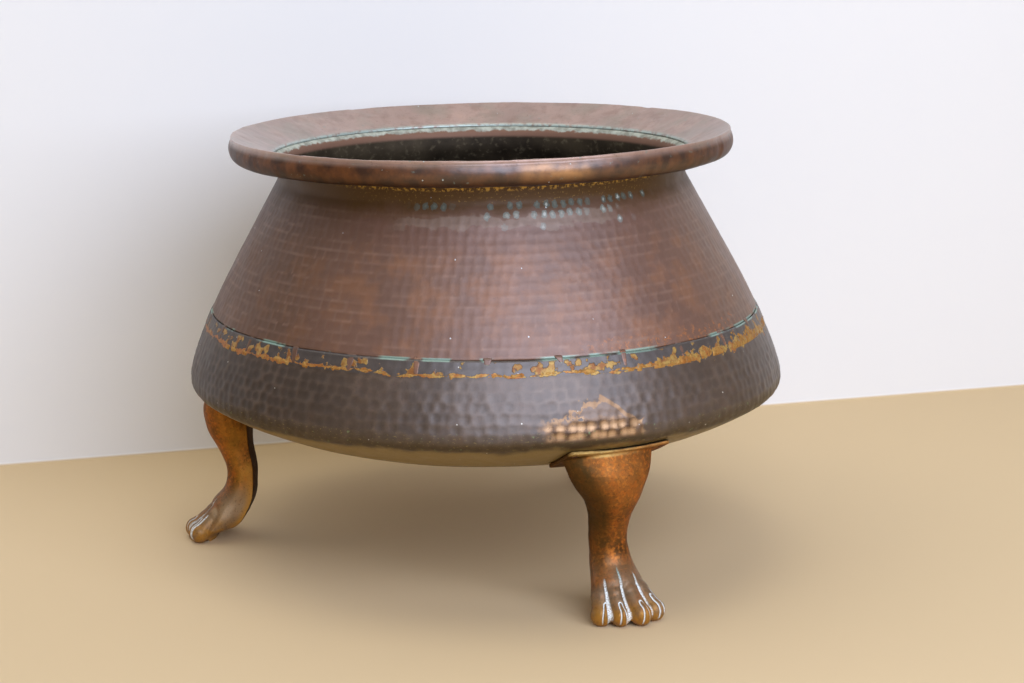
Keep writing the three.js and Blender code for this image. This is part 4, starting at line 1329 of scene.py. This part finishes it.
def fused(bm, name):
    """One skin over overlapping forms, by a voxel remesh that is applied."""
    mesh = bpy.data.meshes.new(name)
    bm.to_mesh(mesh)
    bm.free()
    piece = bpy.data.objects.new(name, mesh)
    bpy.context.scene.collection.objects.link(piece)
    remesh = piece.modifiers.new("fuse", "REMESH")
    remesh.mode = "VOXEL"
    remesh.voxel_size = LEG_VOXEL
    smooth = piece.modifiers.new("ease", "SMOOTH")
    smooth.factor, smooth.iterations = 0.5, 6
    evaluated = piece.evaluated_get(bpy.context.evaluated_depsgraph_get())
    result = bpy.data.meshes.new_from_object(evaluated)
    result.name = name
    bpy.data.objects.remove(piece)
    bpy.data.meshes.remove(mesh)
    return result


def line_distance(points, start, end):
    """Sideways distance in plan from a line, signed, and the share along it."""
    direction = np.array(end[:2]) - np.array(start[:2])
    length = np.linalg.norm(direction)
    direction = direction / length
    rel = points[:, :2] - np.array(start[:2])
    return rel[:, 0] * -direction[1] + rel[:, 1] * direction[0], rel @ direction / length


def carve_paw(points, normals):
    """Grooves between the toes and around the claws: depth of cut, oxide held, and the
    claws' share of it."""
    facing = normals[:, 2] * 0.7 + normals[:, 0] * 1.1 + np.abs(normals[:, 1]) * 0.6 + 0.1
    facing = np.clip(facing, 0.0, 1.0)
    low = 1 - ease(points[:, 2], 40.0, 54.0)
    cut, oxide, claw = np.zeros((3, len(points)))
    for i, (top, bottom) in enumerate(GROOVES):
        off, share = line_distance(points, top, bottom)
        begun = ease(share, -0.02, 0.22) * low * (1 - ease(share, 1.3, 1.5))
        deep = np.clip(share, 0.0, 1.0) * (0.35 if i == 3 else 1.0)
        cut += np.exp(-(off / (0.7 + 0.7 * deep)) ** 2) * begun * (0.5 + 0.9 * deep)
        oxide += np.exp(-(off / (0.75 + 1.6 * deep ** 1.3)) ** 4) * begun
    for (knuckle, tip, radius), (half, top, shift) in zip(TOES, CLAWS):
        off, share = line_distance(points, knuckle, tip)
        off = off - shift * np.clip(share, 0.0, 1.0)
        mine = ease(share, 0.55, 0.8) * (np.abs(off) < radius * 0.8) * ease(points[:, 2], 0.8, 3.0)
        narrow = half * (1 - 0.45 * ease(points[:, 2], 6.0, top))
        out = np.hypot(off, np.maximum(points[:, 2] - (top - narrow), 0.0))
        line = np.exp(-((out - narrow) / 0.6) ** 2) * mine
        cut += line - np.clip(1 - (out / narrow) ** 2, 0, 1) * mine * 0.8
        claw += line * 1.1
    return cut * facing, (oxide + claw) * facing, claw * facing


def cast_form():
    """Mesh of the casting, which all three legs share, and its points."""
    mesh = fused(leg_form(), "leg_casting")
    points = read_points(mesh)
    normals = np.empty(len(mesh.vertices) * 3)
    mesh.vertices.foreach_get("normal", normals)
    normals = normals.reshape(-1, 3)
    cut, oxide, claw = carve_paw(points, normals)
    rng = np.random.default_rng(91)
    rough = sum(np.sin(points @ (wave * 0.16) + phase)
                for wave, phase in zip(rng.normal(0, 1, (24, 3)), rng.uniform(0, TURN, 24))) / 24
    moved = points - normals * (cut + np.abs(rough) * 0.5)[:, None]
    seat = seat_height(np.hypot(moved[:, 0], moved[:, 1])) - FIT_GAP
    ceiling = seat - 0.15
    moved[:, 2] = np.clip(moved[:, 2], 0.0, None)
    moved[:, 2] = np.where(
        moved[:, 2] > ceiling - 5.0, np.minimum(moved[:, 2], ceiling), moved[:, 2])
    (out, aside, up), (out_side, aside_side, _) = points.T, normals.T
    behind = out - np.interp(up, *np.array(BACK_LINE, float).T)
    wing = ease(-aside, 27.0, 33.0) * ease(up, 116.0, 124.0)
    inner_side = ease(-aside_side, 0.1, 0.6) * ease(up, 26.0, 80.0)
    edge = ease(out, PLATE_FRONT - 4.0, PLATE_FRONT - 1.0) * ease(up, 137.0, 139.0)
    for name, values in (
            ("oxide", np.clip(oxide, 0, 1)),
            ("claw", np.clip(claw, 0, 1)),
            ("paw", 1 - ease(up, 30.0, 58.0)),
            ("back", ease(-out_side, 0.6, 0.85) * ease(up, 8.0, 24.0)),
            ("flank", np.maximum(wing, inner_side)),
            ("heel", (1 - ease(behind, 1.5, 7.5)) * ease(aside_side, 0.15, 0.6)
             * (1 - ease(up, 34.0, 75.0))),
            ("near_side", ease(aside_side, 0.1, 0.7) * (1 - ease(out_side, 0.1, 0.6))),
            ("gap", ease(moved[:, 2], seat - 2.1, seat - 1.4) * ease(aside, -26.0, -12.0)),
            ("bare", edge * (1 - 0.6 * ease(aside, -18.0, 22.0)))):
        write_value(mesh, name, values)
    return mesh, moved


class CAULDRON_OT_legs(Operator):
    """Three cast legs with paws and mounting plates"""
    bl_idname = "cauldron.legs"
    bl_label = "Cast legs"

    def execute(self, context):
        material = cast_brass(context.scene.cauldron_colours)
        casting, points = cast_form()
        for name, angle in LEG_ANGLES.items():
            mesh = casting.copy()
            mesh.name = f"leg_{name}_cast"
            turn = math.radians(angle)
            spin = np.array([[math.cos(turn), math.sin(turn), 0],
                             [-math.sin(turn), math.cos(turn), 0], [0, 0, 1]])
            write_points(mesh, points @ spin)
            finish_piece(mesh, [material], [f"leg_{name}"])
        bpy.data.meshes.remove(casting)
        return {"FINISHED"}


class CAULDRON_OT_rivets(Operator):
    """Rivets of the legs, with hammered heads inside the pot"""
    bl_idname = "cauldron.rivets"
    bl_label = "Rivets"

    def execute(self, context):
        material = rivet_copper()
        seat = SHEET + FIT_GAP
        tail = -(FIT_GAP + PLATE_THICKNESS)
        turns = np.radians(np.linspace(0.0, 90.0, 9))
        dome = [(RIVET_HEAD_RADIUS * math.cos(t), seat + RIVET_HEAD_HEIGHT * math.sin(t))
                for t in turns]
        dome[-1] = (0.0, dome[-1][1])
        path = [(0.0, tail), (RIVET_RADIUS, tail), (RIVET_RADIUS, seat)] + dome
        for name, angle in LEG_ANGLES.items():
            for i, (out, aside) in enumerate(RIVET_PLACES):
                node = f"rivet_{name}_{i + 1}"
                mesh = turned_mesh(f"{node}_head", path, 28, closed=False)
                radius = math.hypot(out, aside)
                slope = float(seat_height(radius + 1) - seat_height(radius - 1)) / 2
                mesh.transform(
                    Matrix.Rotation(math.radians(angle) + math.atan2(aside, out), 4, "Z")
                    @ Matrix.Translation((radius, 0.0, float(seat_height(radius))))
                    @ Matrix.Rotation(-math.atan(slope), 4, "Y"))
                write_points(mesh, read_points(mesh))
                finish_piece(mesh, [material], [node])
        return {"FINISHED"}


class CAULDRON_OT_stage(Operator):
    """Floor, soft lamps and the photograph's camera"""
    bl_idname = "cauldron.stage"
    bl_label = "Stage"

    def execute(self, context):
        scene = context.scene
        sweep(scene.cauldron_colours)
        for row in LAMPS:
            lamp(*row)
        scene.world = soft_room()
        camera_data = bpy.data.cameras.new("photo_camera")
        camera_data.sensor_width = SENSOR
        camera_data.lens = FOCAL_PIXELS / IMAGE_WIDTH * SENSOR
        camera = bpy.data.objects.new("photo_camera", camera_data)
        camera.location = AXIS + Vector((0.0, -CAMERA_BACK, CAMERA_UP))
        look = Matrix.Rotation(-math.radians(CAMERA_YAW), 4, "Z")
        look @= Matrix.Rotation(math.radians(90.0 - CAMERA_PITCH), 4, "X")
        look @= Matrix.Rotation(math.radians(CAMERA_ROLL), 4, "Z")
        camera.rotation_euler = look.to_euler()
        scene.collection.objects.link(camera)
        bpy.context.scene.camera = camera
        scene.view_settings.view_transform = "Standard"
        return {"FINISHED"}


def soft_room():
    """World that lights the pot faintly and is nearly white where the camera sees it."""
    world = bpy.data.worlds.new("soft_room")
    world.use_nodes = True
    tree = world.node_tree
    room = tree.nodes["Background"]
    room.inputs["Color"].default_value = as_colour(ROOM_COLOUR)
    seen = add(tree, "ShaderNodeLightPath").outputs["Is Camera Ray"]
    strength = add(tree, "ShaderNodeMapRange", {
        "Value": seen, "To Min": ROOM_LIGHT, "To Max": ROOM_SEEN}).outputs[0]
    tree.links.new(strength, room.inputs["Strength"])
    return world


def sweep(colours):
    """Floor and the white wall close behind the pot, at the slant that the photograph shows."""
    bm = bmesh.new()
    profile = [(-FLOOR_FRONT, 0.0), (WALL_BACK - 0.004, 0.0), (WALL_BACK - 0.001, 0.001),
               (WALL_BACK, 0.004), (WALL_BACK, WALL_HEIGHT)]
    verts = [bm.verts.new((-FLOOR_HALF, y, z)) for y, z in profile]
    edges = [bm.edges.new(pair) for pair in zip(verts, verts[1:])]
    made = bmesh.ops.extrude_edge_only(bm, edges=edges)["geom"]
    far = [g for g in made if isinstance(g, bmesh.types.BMVert)]
    bmesh.ops.translate(bm, verts=far, vec=(2 * FLOOR_HALF, 0, 0))
    bmesh.ops.rotate(bm, verts=bm.verts, matrix=Matrix.Rotation(math.radians(WALL_TURN), 3, "Z"))
    bmesh.ops.recalc_face_normals(bm, faces=bm.faces)
    if sum(face.normal.z for face in bm.faces) < 0:
        bmesh.ops.reverse_faces(bm, faces=bm.faces)
    mesh = bpy.data.meshes.new("studio_sweep")
    bm.to_mesh(mesh)
    bm.free()
    mesh.materials.append(matt_floor(colours))
    floor = bpy.data.objects.new("studio_sweep", mesh)
    bpy.context.scene.collection.objects.link(floor)


def lamp(name, place, target, size, power, colour):
    data = bpy.data.lights.new(name, "AREA")
    data.shape, data.energy, data.color = "RECTANGLE", power, srgb(colour)
    data.size, data.size_y = size
    light = bpy.data.objects.new(name, data)
    light.location = place
    light.rotation_euler = (Vector(target) - Vector(place)).to_track_quat("-Z", "Y").to_euler()
    bpy.context.scene.collection.objects.link(light)


class CAULDRON_PT_panel(Panel):
    bl_label = "Copper cauldron"
    bl_idname = "CAULDRON_PT_panel"
    bl_space_type = "VIEW_3D"
    bl_region_type = "UI"
    bl_category = "Cauldron"

    def draw(self, context):
        layout = self.layout
        for settings in (context.scene.cauldron_sizes, context.scene.cauldron_colours):
            for key in settings.__annotations__:
                layout.prop(settings, key)
        for step in STEPS:
            layout.operator(step.bl_idname)


STEPS = (
    CAULDRON_OT_stage,
    CAULDRON_OT_side_wall,
    CAULDRON_OT_bowl,
    CAULDRON_OT_rim_collar,
    CAULDRON_OT_seams,
    CAULDRON_OT_legs,
    CAULDRON_OT_rivets,
)
CLASSES = (CauldronSizes, CauldronColours, *STEPS, CAULDRON_PT_panel)


def register():
    for cls in CLASSES:
        bpy.utils.register_class(cls)
    bpy.types.Scene.cauldron_sizes = PointerProperty(type=CauldronSizes)
    bpy.types.Scene.cauldron_colours = PointerProperty(type=CauldronColours)


def unregister():
    del bpy.types.Scene.cauldron_colours
    del bpy.types.Scene.cauldron_sizes
    for cls in reversed(CLASSES):
        bpy.utils.unregister_class(cls)


def main():
    register()
    bpy.ops.cauldron.stage()
    bpy.ops.cauldron.side_wall()
    bpy.ops.cauldron.bowl()
    bpy.ops.cauldron.rim_collar()
    bpy.ops.cauldron.seams()
    bpy.ops.cauldron.legs()
    bpy.ops.cauldron.rivets()


if __name__ == "__main__":
    main()
